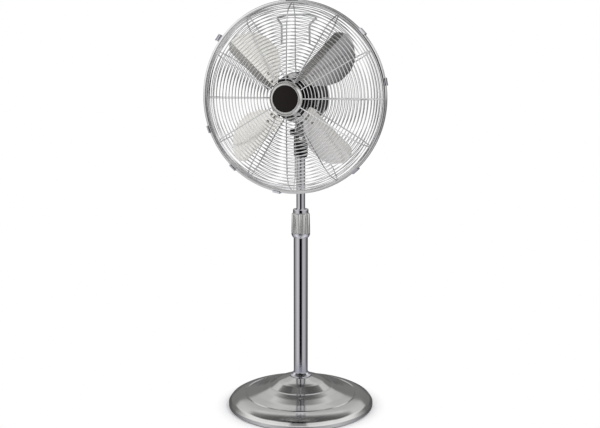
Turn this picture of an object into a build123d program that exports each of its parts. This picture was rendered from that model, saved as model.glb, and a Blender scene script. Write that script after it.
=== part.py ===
from build123d import *
from math import cos, pi
import os

# Pedestal fan with a round weighted base, a telescopic pole and a tilting, oscillating head.
# Millimetres. +Z is up, and the fan blows towards -Y. The origin is on the floor, on the pole's axis.

os.makedirs("parts", exist_ok=True)

# Main sizes
AXIS_Z = 787.0  # height of the fan's axis above the floor
GUARD_R = 230.0  # outside of the guard's rim
RIM_Y = -62.0  # plane where the front and rear guards meet
BASE_R = 185.0  # outside of the base
TILT_Z = 702.0  # height of the tilt pin
BLADE_COUNT = 4
SPOKE_COUNT = 12

# Stand
FOOT_COUNT = 5
FOOT_R, FOOT_H, FOOT_CIRCLE_R = 11.0, 6.0, 128.0
WEIGHT_TOP, WEIGHT_BOSS_R = 12.0, 22.0
BASE_TOP, BASE_LIP_Z, BASE_BORE_R = 78.0, 2.5, 18.5  # the spun cover
TUBE_FOOT_Z = 52.0  # the pole stands on the weight's boss
POLE_BOLT_R = 5.0
OUTER_R, OUTER_BORE, OUTER_TOP = 18.0, 16.5, 455.0
INNER_R, INNER_BORE, INNER_FOOT, INNER_TOP = 11.0, 9.6, 190.0, 664.0
SLIDE_GAP = 0.05  # radial clearance of the sliding pole
SKIRT_Z = 438.0
COLLAR_Z, COLLAR_TOP = 450.0, 499.0  # fluted part of the lock collar
COLLAR_R, FLUTE_R, FLUTE_COUNT = 24.0, 5.5, 12
CAP_R, CAP_TOP = 19.5, 510.0

# Neck
SOCKET_R, SOCKET_Z, FORK_Z = 17.5, 640.0, 677.0
TONGUE_HALF, EAR_IN, EAR_OUT, EAR_R = 8.0, 8.3, 13.8, 13.0
TILT_PIN_R, SWIVEL_PIN_R, PIN_GAP = 4.0, 5.0, 0.05
NECK_TOP = 719.0

# Motor, as (y, radius) from the fan's axis
MOTOR_R, MOTOR_WALL = 62.0, 2.0
MOTOR_FRONT, MOTOR_SPLIT, MOTOR_BACK = -34.0, 20.0, 95.0
NOSE_R, NOSE_FRONT = 20.0, -49.0
SHAFT_R, SHAFT_FRONT, SHAFT_BACK, SHAFT_GAP = 4.0, -101.0, 40.0, 0.05
BUSH_R, BOSS_R = 8.0, 13.5
STACK_FRONT, STACK_BACK = -16.0, 10.0  # stator and rotor core
CLUTCH_Y, GLAND_Y, SPINDLE_R = 52.0, 76.0, 3.0

# Blades
BLADE_Y, BLADE_SHEET = -74.0, 1.5
FIRST_BLADE = 46.0  # angle of the first blade, anticlockwise from the right

# Guards
HOOP = 8.0  # section of each rim hoop
SPOKE_WIRE, RING_WIRE = 2.8, 1.9
SEAT_Y = -109.0  # middle of the front spokes where the badge clamps them
BADGE_Y = SEAT_Y - SPOKE_WIRE / 2
REAR_WIRE_Y = MOTOR_FRONT - 2 - SPOKE_WIRE / 2 + 0.4
LAST_RING = 0.955  # place of the outermost ring along a spoke
BADGE_R, BADGE_RING_R = 31.0, 41.0
RING_SIDES, HOOP_SIDES = 24, 48
FRONT_RINGS, REAR_RINGS = 12, 11  # every second ring of the welded wirework
# Bends of the right half of the carrying handle, up from its foot: x, y and height above the fan's axis
HANDLE_WIRE_R = 2.5
HANDLE_BENDS = [(35, -39.35, 128), (35, -40.1, 173), (51, -30, 190), (26, -27, 197)]
# Spring clips round the rim: angle anticlockwise from the right, width, and how far each stands open
CLIPS = [
    (10, 18, 0),
    (42, 18, 0),
    (90, 30, 0),
    (143, 18, 55),
    (200, 18, 0),
    (228, 18, 0),
    (260, 18, 0),
    (313, 18, 0),
]

FAN_AXIS = Axis((0, 0, AXIS_Z), (0, 1, 0))
FAN_SECTION = Plane(origin=(0, 0, AXIS_Z), x_dir=(0, 1, 0), z_dir=(1, 0, 0))  # (y, radius)


def facing(y):
    """A sketch plane across the fan's axis, seen from the front: extrusion goes forwards."""
    return Plane(origin=(0, y, AXIS_Z), x_dir=(1, 0, 0), z_dir=(0, -1, 0))


def turned_upright(outline):
    """A solid turned about the pole's axis from a closed outline of (radius, height) points."""
    with BuildPart() as turned:
        with BuildSketch(Plane.XZ):
            with BuildLine():
                Polyline(*outline, close=True)
            make_face()
        revolve(axis=Axis.Z)
    return turned.part


def turned_on_fan_axis(outline):
    """A solid turned about the fan's axis from a closed outline of (y, radius) points."""
    with BuildPart() as turned:
        with BuildSketch(FAN_SECTION):
            with BuildLine():
                Polyline(*outline, close=True)
            make_face()
        revolve(axis=FAN_AXIS)
    return turned.part


# ---------------------------------------------------------------- stand

# Spun steel cover: a raised boss, a step, a gentle cone and a sloping shoulder, open below
with BuildPart() as base_cover:
    with BuildSketch(Plane.XZ):
        with BuildLine():
            Polyline(
                (BASE_BORE_R, BASE_TOP),
                (28, BASE_TOP),
                (61.5, 66),
                (80, 53.5),
                (141, 32),
                (162, 27),
                (178, 18),
                (BASE_R, 11),
                (BASE_R, BASE_LIP_Z),
                (BASE_R - 3.2, BASE_LIP_Z),
                (BASE_R - 3.2, 11),
                (158, 23),
                (78, 50.5),
                (28, BASE_TOP - 3.5),
                (BASE_BORE_R, BASE_TOP - 3.5),
                close=True,
            )
        make_face()
    revolve(axis=Axis.Z)
base_cover.part.label = "base_cover"
export_step(base_cover.part, "parts/base_cover.step")

# Cast iron weight: a disc with a boss that carries the pole
with BuildPart() as base_weight:
    add(
        turned_upright(
            [
                (POLE_BOLT_R, FOOT_H),
                (150, FOOT_H),
                (150, WEIGHT_TOP),
                (WEIGHT_BOSS_R, WEIGHT_TOP),
                (WEIGHT_BOSS_R, TUBE_FOOT_Z),
                (POLE_BOLT_R, TUBE_FOOT_Z),
            ]
        )
    )
base_weight.part.label = "base_weight"
export_step(base_weight.part, "parts/base_weight.step")

with BuildPart() as rubber_feet:
    with BuildSketch():
        with PolarLocations(FOOT_CIRCLE_R, FOOT_COUNT, start_angle=90):
            Circle(FOOT_R)
    extrude(amount=FOOT_H)
rubber_feet.part.label = "rubber_feet"
export_step(rubber_feet.part, "parts/rubber_feet.step")

# Hexagon-headed bolt that draws the pole's plug down on to the weight
with BuildPart() as pole_bolt:
    with BuildSketch(Plane.XY.offset(TUBE_FOOT_Z + 20)):
        Circle(POLE_BOLT_R)
    extrude(amount=FOOT_H - TUBE_FOOT_Z - 20)
    with BuildSketch(Plane.XY.offset(FOOT_H)):
        RegularPolygon(9, 6)
    extrude(amount=-5)
pole_bolt.part.label = "pole_bolt"
export_step(pole_bolt.part, "parts/pole_bolt.step")

with BuildPart() as tube_plug:
    with BuildSketch(Plane.XY.offset(TUBE_FOOT_Z)):
        Circle(OUTER_BORE)
        Circle(POLE_BOLT_R, mode=Mode.SUBTRACT)
    extrude(amount=20)
tube_plug.part.label = "tube_plug"
export_step(tube_plug.part, "parts/tube_plug.step")

with BuildPart() as outer_tube:
    with BuildSketch(Plane.XY.offset(TUBE_FOOT_Z)):
        Circle(OUTER_R)
        Circle(OUTER_BORE, mode=Mode.SUBTRACT)
    extrude(amount=OUTER_TOP - TUBE_FOOT_Z)
outer_tube.part.label = "outer_tube"
export_step(outer_tube.part, "parts/outer_tube.step")

# Collar that covers the joint between pole and base
with BuildPart() as base_collar:
    add(
        turned_upright(
            [
                (OUTER_R, BASE_TOP),
                (28, BASE_TOP),
                (28, BASE_TOP + 3),
                (21, BASE_TOP + 9),
                (OUTER_R, BASE_TOP + 9),
            ]
        )
    )
base_collar.part.label = "base_collar"
export_step(base_collar.part, "parts/base_collar.step")

# Flanged plastic bush in the top of the outer tube, which the inner tube slides through
with BuildPart() as guide_bush:
    add(
        turned_upright(
            [
                (INNER_R + SLIDE_GAP, OUTER_TOP - 45),
                (OUTER_BORE, OUTER_TOP - 45),
                (OUTER_BORE, OUTER_TOP),
                (OUTER_R, OUTER_TOP),
                (OUTER_R, OUTER_TOP + 3),
                (INNER_R + SLIDE_GAP, OUTER_TOP + 3),
            ]
        )
    )
guide_bush.part.label = "guide_bush"
export_step(guide_bush.part, "parts/guide_bush.step")

# Split collet with a tapered end, which the lock collar squeezes on to the inner tube
with BuildPart() as collet:
    add(
        turned_upright(
            [
                (INNER_R + SLIDE_GAP, OUTER_TOP + 3),
                (16, OUTER_TOP + 3),
                (16, OUTER_TOP + 26),
                (13, OUTER_TOP + 34),
                (INNER_R + SLIDE_GAP, OUTER_TOP + 34),
            ]
        )
    )
    with BuildSketch(Plane.XY.offset(OUTER_TOP + 10)):
        Rectangle(40, 1.6)
        Rectangle(1.6, 40)
    extrude(amount=30, mode=Mode.SUBTRACT)
collet.part.label = "collet"
export_step(collet.part, "parts/collet.step")

# Threaded sleeve on the outer tube, with the polished skirt that shows below the lock collar
with BuildPart() as collar_skirt:
    add(
        turned_upright(
            [
                (OUTER_R, SKIRT_Z),
                (21.6, SKIRT_Z),
                (23.6, SKIRT_Z + 3),
                (23.6, COLLAR_Z - 0.5),
                (20.5, COLLAR_Z - 0.5),
                (20.5, OUTER_TOP + 12),
                (OUTER_R, OUTER_TOP + 12),
            ]
        )
    )
collar_skirt.part.label = "collar_skirt"
export_step(collar_skirt.part, "parts/collar_skirt.step")

# ---------------------------------------------------------------- lock collar

# Fluted grip: a nut with wide scallops and a tapered end to its bore, which closes the collet
with BuildPart() as lock_collar:
    with BuildSketch(Plane.XY.offset(COLLAR_Z)):
        Circle(COLLAR_R)
        with PolarLocations(COLLAR_R + FLUTE_R - 1.5, FLUTE_COUNT):
            Circle(FLUTE_R, mode=Mode.SUBTRACT)
    extrude(amount=COLLAR_TOP - COLLAR_Z)
    add(
        turned_upright(
            [
                (0, COLLAR_Z - 1),
                (20.9, COLLAR_Z - 1),
                (20.9, OUTER_TOP + 14),
                (16.5, OUTER_TOP + 14),
                (16.5, OUTER_TOP + 27),
                (INNER_R + 0.4, COLLAR_TOP - 2),
                (INNER_R + 0.4, COLLAR_TOP + 1),
                (0, COLLAR_TOP + 1),
            ]
        ),
        mode=Mode.SUBTRACT,
    )
lock_collar.part.label = "lock_collar"
export_step(lock_collar.part, "parts/lock_collar.step")

with BuildPart() as lock_cap:
    add(
        turned_upright(
            [
                (INNER_R + 0.4, COLLAR_TOP),
                (CAP_R, COLLAR_TOP),
                (CAP_R, CAP_TOP),
                (INNER_R + 0.4, CAP_TOP),
            ]
        )
    )
lock_cap.part.label = "lock_cap"
export_step(lock_cap.part, "parts/lock_cap.step")

# ---------------------------------------------------------------- mast

with BuildPart() as inner_tube:
    with BuildSketch(Plane.XY.offset(INNER_FOOT)):
        Circle(INNER_R)
        Circle(INNER_BORE, mode=Mode.SUBTRACT)
    extrude(amount=INNER_TOP - INNER_FOOT)
inner_tube.part.label = "inner_tube"
export_step(inner_tube.part, "parts/inner_tube.step")

# Plastic slider on the foot of the inner tube, which stops it leaving the outer tube
with BuildPart() as tube_slider:
    with BuildSketch(Plane.XY.offset(INNER_FOOT)):
        Circle(OUTER_BORE - SLIDE_GAP)
        Circle(INNER_R, mode=Mode.SUBTRACT)
    extrude(amount=18)
tube_slider.part.label = "tube_slider"
export_step(tube_slider.part, "parts/tube_slider.step")

with BuildPart() as pole_socket:
    add(
        turned_upright(
            [
                (INNER_R, SOCKET_Z),
                (SOCKET_R, SOCKET_Z),
                (SOCKET_R, FORK_Z),
                (0, FORK_Z),
                (0, INNER_TOP),
                (INNER_R, INNER_TOP),
            ]
        )
    )
pole_socket.part.label = "pole_socket"
export_step(pole_socket.part, "parts/pole_socket.step")

# Cast fork: two rounded ears on a round foot
with BuildPart() as tilt_fork:
    with BuildSketch(Plane.XY.offset(FORK_Z)):
        Circle(16)
    extrude(amount=5)
    with BuildSketch(Plane(origin=(-EAR_OUT, 0, TILT_Z), x_dir=(0, 1, 0), z_dir=(1, 0, 0))):
        Circle(EAR_R)
        with Locations((0, (FORK_Z - TILT_Z) / 2)):
            Rectangle(2 * EAR_R, TILT_Z - FORK_Z)
        Circle(TILT_PIN_R, mode=Mode.SUBTRACT)
    extrude(amount=EAR_OUT - EAR_IN)
    with BuildSketch(Plane(origin=(EAR_IN, 0, TILT_Z), x_dir=(0, 1, 0), z_dir=(1, 0, 0))):
        Circle(EAR_R)
        with Locations((0, (FORK_Z - TILT_Z) / 2)):
            Rectangle(2 * EAR_R, TILT_Z - FORK_Z)
        Circle(TILT_PIN_R, mode=Mode.SUBTRACT)
    extrude(amount=EAR_OUT - EAR_IN)
tilt_fork.part.label = "tilt_fork"
export_step(tilt_fork.part, "parts/tilt_fork.step")

# Headed pin through both ears, with the thread for the clamping knob on the left
with BuildPart() as tilt_pin:
    with BuildSketch(Plane(origin=(-24, 0, TILT_Z), x_dir=(0, 1, 0), z_dir=(1, 0, 0))):
        Circle(TILT_PIN_R)
    extrude(amount=24 + EAR_OUT)
    with BuildSketch(Plane(origin=(EAR_OUT, 0, TILT_Z), x_dir=(0, 1, 0), z_dir=(1, 0, 0))):
        RegularPolygon(7.5, 6)
    extrude(amount=4.5)
tilt_pin.part.label = "tilt_pin"
export_step(tilt_pin.part, "parts/tilt_pin.step")

with BuildPart() as tilt_knob:
    with BuildSketch(Plane(origin=(-EAR_OUT - 0.4, 0, TILT_Z), x_dir=(0, -1, 0), z_dir=(-1, 0, 0))):
        Circle(6.5)
        with PolarLocations(6.5, 6):
            Circle(2.2)
    extrude(amount=13)
    with BuildSketch(Plane(origin=(-EAR_OUT, 0, TILT_Z), x_dir=(0, -1, 0), z_dir=(-1, 0, 0))):
        Circle(TILT_PIN_R + PIN_GAP)
    extrude(amount=11, mode=Mode.SUBTRACT)
tilt_knob.part.label = "tilt_knob"
export_step(tilt_knob.part, "parts/tilt_knob.step")

# ---------------------------------------------------------------- neck

# Tongue that tilts between the ears, with a round table on top that the head turns on
with BuildPart() as neck:
    with BuildSketch(Plane(origin=(-TONGUE_HALF, 0, TILT_Z), x_dir=(0, 1, 0), z_dir=(1, 0, 0))):
        Circle(12)
        with Locations((0, (NECK_TOP - 3 - TILT_Z) / 2)):
            Rectangle(20, NECK_TOP - 3 - TILT_Z)
        Circle(TILT_PIN_R + PIN_GAP, mode=Mode.SUBTRACT)
    extrude(amount=2 * TONGUE_HALF)
    with BuildSketch(Plane.XY.offset(NECK_TOP - 3.5)):
        Circle(BOSS_R)
    extrude(amount=3.5)
neck.part.label = "neck"
export_step(neck.part, "parts/neck.step")

# Upright pin that the head swings on
with BuildPart() as swivel_pin:
    add(
        turned_upright(
            [
                (0, NECK_TOP),
                (SWIVEL_PIN_R, NECK_TOP),
                (SWIVEL_PIN_R, NECK_TOP + 13),
                (0, NECK_TOP + 13),
            ]
        )
    )
swivel_pin.part.label = "swivel_pin"
export_step(swivel_pin.part, "parts/swivel_pin.step")

# ---------------------------------------------------------------- motor

# Boss let into the underside of the motor, which turns on the swivel pin
with BuildPart() as swivel_boss:
    add(
        turned_upright(
            [
                (0, NECK_TOP + 15),
                (SWIVEL_PIN_R + PIN_GAP, NECK_TOP + 15),
                (SWIVEL_PIN_R + PIN_GAP, NECK_TOP + 0.3),
                (BOSS_R, NECK_TOP + 0.3),
                (BOSS_R, NECK_TOP + 19),
                (0, NECK_TOP + 19),
            ]
        )
    )
swivel_boss.part.label = "swivel_boss"
export_step(swivel_boss.part, "parts/swivel_boss.step")

# Front shell with the nose that the rear guard is clamped on
with BuildPart() as motor_front_cover:
    add(
        turned_on_fan_axis(
            [
                (MOTOR_SPLIT, MOTOR_R),
                (MOTOR_FRONT + 9, MOTOR_R),
                (MOTOR_FRONT, MOTOR_R - 9),
                (MOTOR_FRONT, NOSE_R),
                (NOSE_FRONT, NOSE_R),
                (NOSE_FRONT, BUSH_R),
                (MOTOR_FRONT + MOTOR_WALL, BUSH_R),
                (MOTOR_FRONT + MOTOR_WALL, MOTOR_R - 10),
                (MOTOR_FRONT + 10, MOTOR_R - MOTOR_WALL),
                (MOTOR_SPLIT, MOTOR_R - MOTOR_WALL),
            ]
        )
    )
    with BuildSketch(Plane.XY.offset(NECK_TOP)):
        Circle(BOSS_R)
    extrude(amount=30, mode=Mode.SUBTRACT)
motor_front_cover.part.label = "motor_front_cover"
export_step(motor_front_cover.part, "parts/motor_front_cover.step")

# Tapered rear shell, with holes for the oscillation knob, the speed switch and the cord gland
with BuildPart() as motor_rear_cover:
    add(
        turned_on_fan_axis(
            [
                (MOTOR_SPLIT, MOTOR_R),
                (40, MOTOR_R),
                (76, 50),
                (MOTOR_BACK, 36),
                (MOTOR_BACK, SPINDLE_R + 0.3),
                (MOTOR_BACK - MOTOR_WALL, SPINDLE_R + 0.3),
                (MOTOR_BACK - MOTOR_WALL, 34),
                (40, MOTOR_R - MOTOR_WALL),
                (MOTOR_SPLIT, MOTOR_R - MOTOR_WALL),
            ]
        )
    )
    with BuildSketch(Plane.XY.offset(AXIS_Z + 40)):
        with Locations((0, CLUTCH_Y)):
            Circle(SPINDLE_R + 0.3)
    extrude(amount=30, mode=Mode.SUBTRACT)
    with BuildSketch(Plane.XY.offset(AXIS_Z - 40)):
        with Locations((0, GLAND_Y)):
            Circle(6)
    extrude(amount=-30, mode=Mode.SUBTRACT)
motor_rear_cover.part.label = "motor_rear_cover"
export_step(motor_rear_cover.part, "parts/motor_rear_cover.step")

# Laminated stator: a square stack with cut corners
with BuildPart() as stator:
    with BuildSketch(facing(STACK_BACK)) as stack_outline:
        Rectangle(84, 84)
        chamfer(stack_outline.vertices(), 13)
        Circle(28, mode=Mode.SUBTRACT)
    extrude(amount=STACK_BACK - STACK_FRONT)
stator.part.label = "stator"
export_step(stator.part, "parts/stator.step")

# End turns of the four coils, on both faces of the stack
with BuildPart() as windings:
    for start, length in ((STACK_FRONT, 6), (STACK_BACK + 10, 10)):
        with BuildSketch(facing(start)):
            RegularPolygon(38, 8, rotation=22.5)
            RegularPolygon(30, 8, rotation=22.5, mode=Mode.SUBTRACT)
        extrude(amount=length)
windings.part.label = "windings"
export_step(windings.part, "parts/windings.step")

# Gear case of the oscillation drive, on four legs that stand on the stack
with BuildPart() as gear_case:
    with BuildSketch(facing(36)) as flange_outline:
        Rectangle(80, 70)
        chamfer(flange_outline.vertices(), 14)
    extrude(amount=4)
    with BuildSketch(facing(32)):
        with GridLocations(64, 56, 2, 2):
            RegularPolygon(3.5, 6)
    extrude(amount=32 - STACK_BACK)
    with BuildSketch(facing(66)):
        with Locations((0, 6)):
            Rectangle(40, 48)
    extrude(amount=30)
    with BuildSketch(facing(41)):
        Circle(BUSH_R)
    extrude(amount=9, mode=Mode.SUBTRACT)
    with BuildSketch(Plane.XY.offset(AXIS_Z + 30)):
        with Locations((0, CLUTCH_Y)):
            Circle(SPINDLE_R + PIN_GAP)
    extrude(amount=-26, mode=Mode.SUBTRACT)
gear_case.part.label = "gear_case"
export_step(gear_case.part, "parts/gear_case.step")

with BuildPart() as capacitor:
    with BuildSketch(facing(62)) as capacitor_outline:
        with Locations((0, -26)):
            Rectangle(34, 16)
        chamfer(capacitor_outline.vertices(), 1.5)
    extrude(amount=24)
capacitor.part.label = "capacitor"
export_step(capacitor.part, "parts/capacitor.step")

with BuildPart() as speed_switch:
    with BuildSketch(facing(MOTOR_BACK - MOTOR_WALL)):
        Rectangle(26, 26)
        Circle(SPINDLE_R + PIN_GAP, mode=Mode.SUBTRACT)
    extrude(amount=16)
speed_switch.part.label = "speed_switch"
export_step(speed_switch.part, "parts/speed_switch.step")

# Two bronze bushes that carry the shaft
with BuildPart() as shaft_bushes:
    for start, length in ((NOSE_FRONT + 14, 14), (41, 9)):
        with BuildSketch(facing(start)):
            Circle(BUSH_R)
            Circle(SHAFT_R + SHAFT_GAP, mode=Mode.SUBTRACT)
        extrude(amount=length)
shaft_bushes.part.label = "shaft_bushes"
export_step(shaft_bushes.part, "parts/shaft_bushes.step")

with BuildPart() as cord_gland:
    with BuildSketch(Plane.XY.offset(AXIS_Z - 48)):
        with Locations((0, GLAND_Y)):
            Circle(6)
            Circle(3.2, mode=Mode.SUBTRACT)
    extrude(amount=-14)
cord_gland.part.label = "cord_gland"
export_step(cord_gland.part, "parts/cord_gland.step")

# Push-pull knob above the gear case, on the clutch spindle
with BuildPart() as oscillation_knob:
    with BuildSketch(Plane.XY.offset(AXIS_Z + 6)):
        with Locations((0, CLUTCH_Y)):
            Circle(SPINDLE_R)
    extrude(amount=60)
    with BuildSketch(Plane.XY.offset(AXIS_Z + 61)):
        with Locations((0, CLUTCH_Y)):
            RegularPolygon(8, 12)
    extrude(amount=14)
    chamfer(oscillation_knob.faces().sort_by(Axis.Z)[-1].edges(), 1)
oscillation_knob.part.label = "oscillation_knob"
export_step(oscillation_knob.part, "parts/oscillation_knob.step")

# Rotary speed knob: a dial with a raised finger bar
with BuildPart() as speed_knob:
    with BuildSketch(facing(MOTOR_BACK + 6)):
        Circle(19)
    extrude(amount=5.6)
    with BuildSketch(facing(MOTOR_BACK + 16)) as finger_bar:
        Rectangle(8, 34)
        chamfer(finger_bar.vertices(), 2.5)
    extrude(amount=10)
    with BuildSketch(facing(MOTOR_BACK + 0.4)):
        Circle(SPINDLE_R)
    extrude(amount=12)
speed_knob.part.label = "speed_knob"
export_step(speed_knob.part, "parts/speed_knob.step")

# ---------------------------------------------------------------- guards


def wire_hoop(radius, y, section, sides):
    """A hoop of square wire with straight sides, centred on a plane across the fan's axis.

    The radius is that of the wire's middle, halfway between the corners and the middles of the sides.
    """
    swell = 2 / (1 + cos(pi / sides))
    with BuildPart() as hoop:
        with BuildSketch(facing(y + section / 2)):
            RegularPolygon((radius + section / 2) * swell, sides)
            RegularPolygon((radius - section / 2) * swell, sides, mode=Mode.SUBTRACT)
        extrude(amount=section)
    return hoop.part


def wire_guard(route, ring_count, first_ring, hoop_y):
    """Bent spokes, the rings welded through them and the rim hoop, as one piece.

    The route holds the (radius, y) points of a spoke. The rings are spread evenly along it, from
    first_ring, a share of its length, to just inside the hoop.
    """
    with BuildPart() as spoke:
        with BuildLine(Plane(origin=(0, 0, AXIS_Z), x_dir=(0, 0, 1), z_dir=(-1, 0, 0))):
            wire = Polyline(*route)
        with BuildSketch(Plane(origin=wire @ 0, x_dir=(1, 0, 0), z_dir=wire % 0)):
            Rectangle(SPOKE_WIRE, SPOKE_WIRE)
        sweep(transition=Transition.RIGHT)
    step = (LAST_RING - first_ring) / (ring_count - 1)
    places = [wire @ (first_ring + step * i) for i in range(ring_count)]
    rings = [wire_hoop(place.Z - AXIS_Z, place.Y, RING_WIRE, RING_SIDES) for place in places]
    spokes = [spoke.part.rotate(FAN_AXIS, 360 / SPOKE_COUNT * i) for i in range(SPOKE_COUNT)]
    with BuildPart() as guard:
        add(spokes + rings + [wire_hoop(GUARD_R - HOOP / 2, hoop_y, HOOP, HOOP_SIDES)])
    return guard.part


# Domed front guard
with BuildPart() as front_guard:
    add(
        wire_guard(
            [
                (28, SEAT_Y),
                (52, SEAT_Y),
                (180, -104),
                (205, -96),
                (GUARD_R - HOOP + 2, RIM_Y - HOOP / 2),
            ],
            FRONT_RINGS,
            0.1,
            RIM_Y - HOOP / 2,
        )
    )
front_guard.part.label = "front_guard"
export_step(front_guard.part, "parts/front_guard.step")

# Shallower rear guard, with the pressed plate that sits on the motor's nose
with BuildPart() as rear_guard:
    add(
        wire_guard(
            [
                (52, REAR_WIRE_Y),
                (66, REAR_WIRE_Y),
                (84, -41.5),
                (194, -43.5),
                (GUARD_R - HOOP + 2, RIM_Y + HOOP / 2),
            ],
            REAR_RINGS,
            0.12,
            RIM_Y + HOOP / 2,
        )
    )
    with BuildSketch(facing(MOTOR_FRONT)):
        Circle(60)
        Circle(NOSE_R, mode=Mode.SUBTRACT)
    extrude(amount=2)
rear_guard.part.label = "rear_guard"
export_step(rear_guard.part, "parts/rear_guard.step")

# Plastic ring nut that clamps the rear guard to the nose
with BuildPart() as guard_nut:
    with BuildSketch(facing(MOTOR_FRONT - 2)):
        RegularPolygon(36, 24)
        Circle(NOSE_R, mode=Mode.SUBTRACT)
    extrude(amount=9)
guard_nut.part.label = "guard_nut"
export_step(guard_nut.part, "parts/guard_nut.step")

# Plate behind the spokes, the stepped ring in front of them, and the plain disc in the ring
with BuildPart() as badge_plate:
    with BuildSketch(facing(SEAT_Y + SPOKE_WIRE / 2 + 2)):
        Circle(39)
    extrude(amount=2)
badge_plate.part.label = "badge_plate"
export_step(badge_plate.part, "parts/badge_plate.step")

with BuildPart() as badge_ring:
    add(
        turned_on_fan_axis(
            [
                (BADGE_Y, BADGE_RING_R),
                (BADGE_Y - 3.5, BADGE_RING_R),
                (BADGE_Y - 3.5, BADGE_RING_R - 4),
                (BADGE_Y - 6.3, BADGE_RING_R - 4),
                (BADGE_Y - 6.3, BADGE_R),
                (BADGE_Y, BADGE_R),
            ]
        )
    )
badge_ring.part.label = "badge_ring"
export_step(badge_ring.part, "parts/badge_ring.step")

with BuildPart() as badge_disc:
    with BuildSketch(facing(BADGE_Y)):
        Circle(BADGE_R)
    extrude(amount=4.5)
badge_disc.part.label = "badge_disc"
export_step(badge_disc.part, "parts/badge_disc.step")

# Bent wire carrying handle, whose legs are welded to the backs of the rear guard's rings
with BuildPart() as carry_handle:
    right_half = [(x, y, AXIS_Z + z) for x, y, z in HANDLE_BENDS]
    left_half = [(-x, y, z) for x, y, z in reversed(right_half)]
    with BuildLine():
        handle_wire = Polyline(*right_half, *left_half)
    with BuildSketch(Plane(origin=handle_wire @ 0, x_dir=(1, 0, 0), z_dir=handle_wire % 0)):
        RegularPolygon(HANDLE_WIRE_R, 6)
    sweep(transition=Transition.RIGHT)
carry_handle.part.label = "carry_handle"
export_step(carry_handle.part, "parts/carry_handle.step")


def spring_clip(angle, width, opened):
    """A spring clip that wraps the rear hoop, snaps over the front one and turns about the rear hoop.

    The angle goes anticlockwise from the right, seen from the front; opened is how far it stands open.
    """
    radius, y = GUARD_R - HOOP / 2, RIM_Y + HOOP / 2
    with BuildPart() as clip:
        with BuildSketch(Plane(origin=(-width / 2, 0, AXIS_Z), x_dir=(0, 0, 1), z_dir=(1, 0, 0))):
            with BuildLine():
                Polyline(
                    (radius + 0.5, -y - 6.6),
                    (radius + 2.7, -y - 6.6),
                    (radius + 6.6, -y - 2.7),
                    (radius + 6.6, -y + 13.6),
                    (radius + 1.8, -y + 13.6),
                    (radius + 1.8, -y + 14.8),
                    (radius + 7.8, -y + 14.8),
                    (radius + 7.8, -y - 3.2),
                    (radius + 3.2, -y - 7.8),
                    (radius + 0.5, -y - 7.8),
                    close=True,
                )
            make_face()
        extrude(amount=width)
        with BuildSketch(Plane(origin=(0, y - 6, AXIS_Z + radius), x_dir=(1, 0, 0), z_dir=(0, 0, 1))):
            Rectangle(width - 6, 9)
        extrude(amount=12, mode=Mode.SUBTRACT)
    hinge = Axis((0, y, AXIS_Z + radius), (1, 0, 0))
    return clip.part.rotate(hinge, -opened).rotate(FAN_AXIS, 90 - angle)


clips = [spring_clip(angle, width, opened) for angle, width, opened in CLIPS]
for number, clip in enumerate(clips, start=1):
    with BuildPart() as guard_clip:
        add(clip)
    guard_clip.part.label = f"guard_clip_{number}"
    export_step(guard_clip.part, f"parts/guard_clip_{number}.step")

# ---------------------------------------------------------------- rotor

with BuildPart() as shaft:
    with BuildSketch(facing(SHAFT_BACK)):
        Circle(SHAFT_R)
    extrude(amount=SHAFT_BACK - SHAFT_FRONT)
shaft.part.label = "shaft"
export_step(shaft.part, "parts/shaft.step")

with BuildPart() as rotor_core:
    with BuildSketch(facing(STACK_BACK)):
        Circle(27.5)
        Circle(SHAFT_R, mode=Mode.SUBTRACT)
    extrude(amount=STACK_BACK - STACK_FRONT)
rotor_core.part.label = "rotor_core"
export_step(rotor_core.part, "parts/rotor_core.step")


def blade_sheet(thickness, start, end):
    """Pressed sheet of one blade, pointing to the right: a flat strip, a bend, then a shallow hollow."""
    half = thickness / 2
    with BuildPart() as sheet:
        with BuildSketch(Plane(origin=(start, BLADE_Y, AXIS_Z), x_dir=(0, 1, 0), z_dir=(1, 0, 0))):
            with BuildLine():
                Line((-13 - half, 27), (-9 - half, 8))
                ThreePointArc((-9 - half, 8), (8 - half, -28), (17 - half, -68))
                Line((17 - half, -68), (17 + half, -68))
                ThreePointArc((17 + half, -68), (8 + half, -28), (-9 + half, 8))
                Line((-9 + half, 8), (-13 + half, 27))
                Line((-13 + half, 27), (-13 - half, 27))
            make_face()
        extrude(amount=end - start)
    return sheet.part


# One blade: the pressed sheet trimmed to its outline, with a straight edge and a round far corner
with BuildPart() as blade:
    add(blade_sheet(BLADE_SHEET, 40, 210))
    with BuildSketch(facing(BLADE_Y + 40)):
        with BuildLine():
            Line((50, -6), (50, 24))
            Line((50, 24), (184, 25))
            Spline((184, 25), (201, 10), (197, -20), (176, -43), (148, -56), (114, -56), (80, -40), (50, -6))
        make_face()
    extrude(amount=80, mode=Mode.INTERSECT)
blades = [blade.part.rotate(FAN_AXIS, -FIRST_BLADE - 360 / BLADE_COUNT * i) for i in range(BLADE_COUNT)]
for number, turned_blade in enumerate(blades, start=1):
    with BuildPart() as fan_blade:
        add(turned_blade)
    fan_blade.part.label = f"blade_{number}"
    export_step(fan_blade.part, f"parts/blade_{number}.step")

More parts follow.
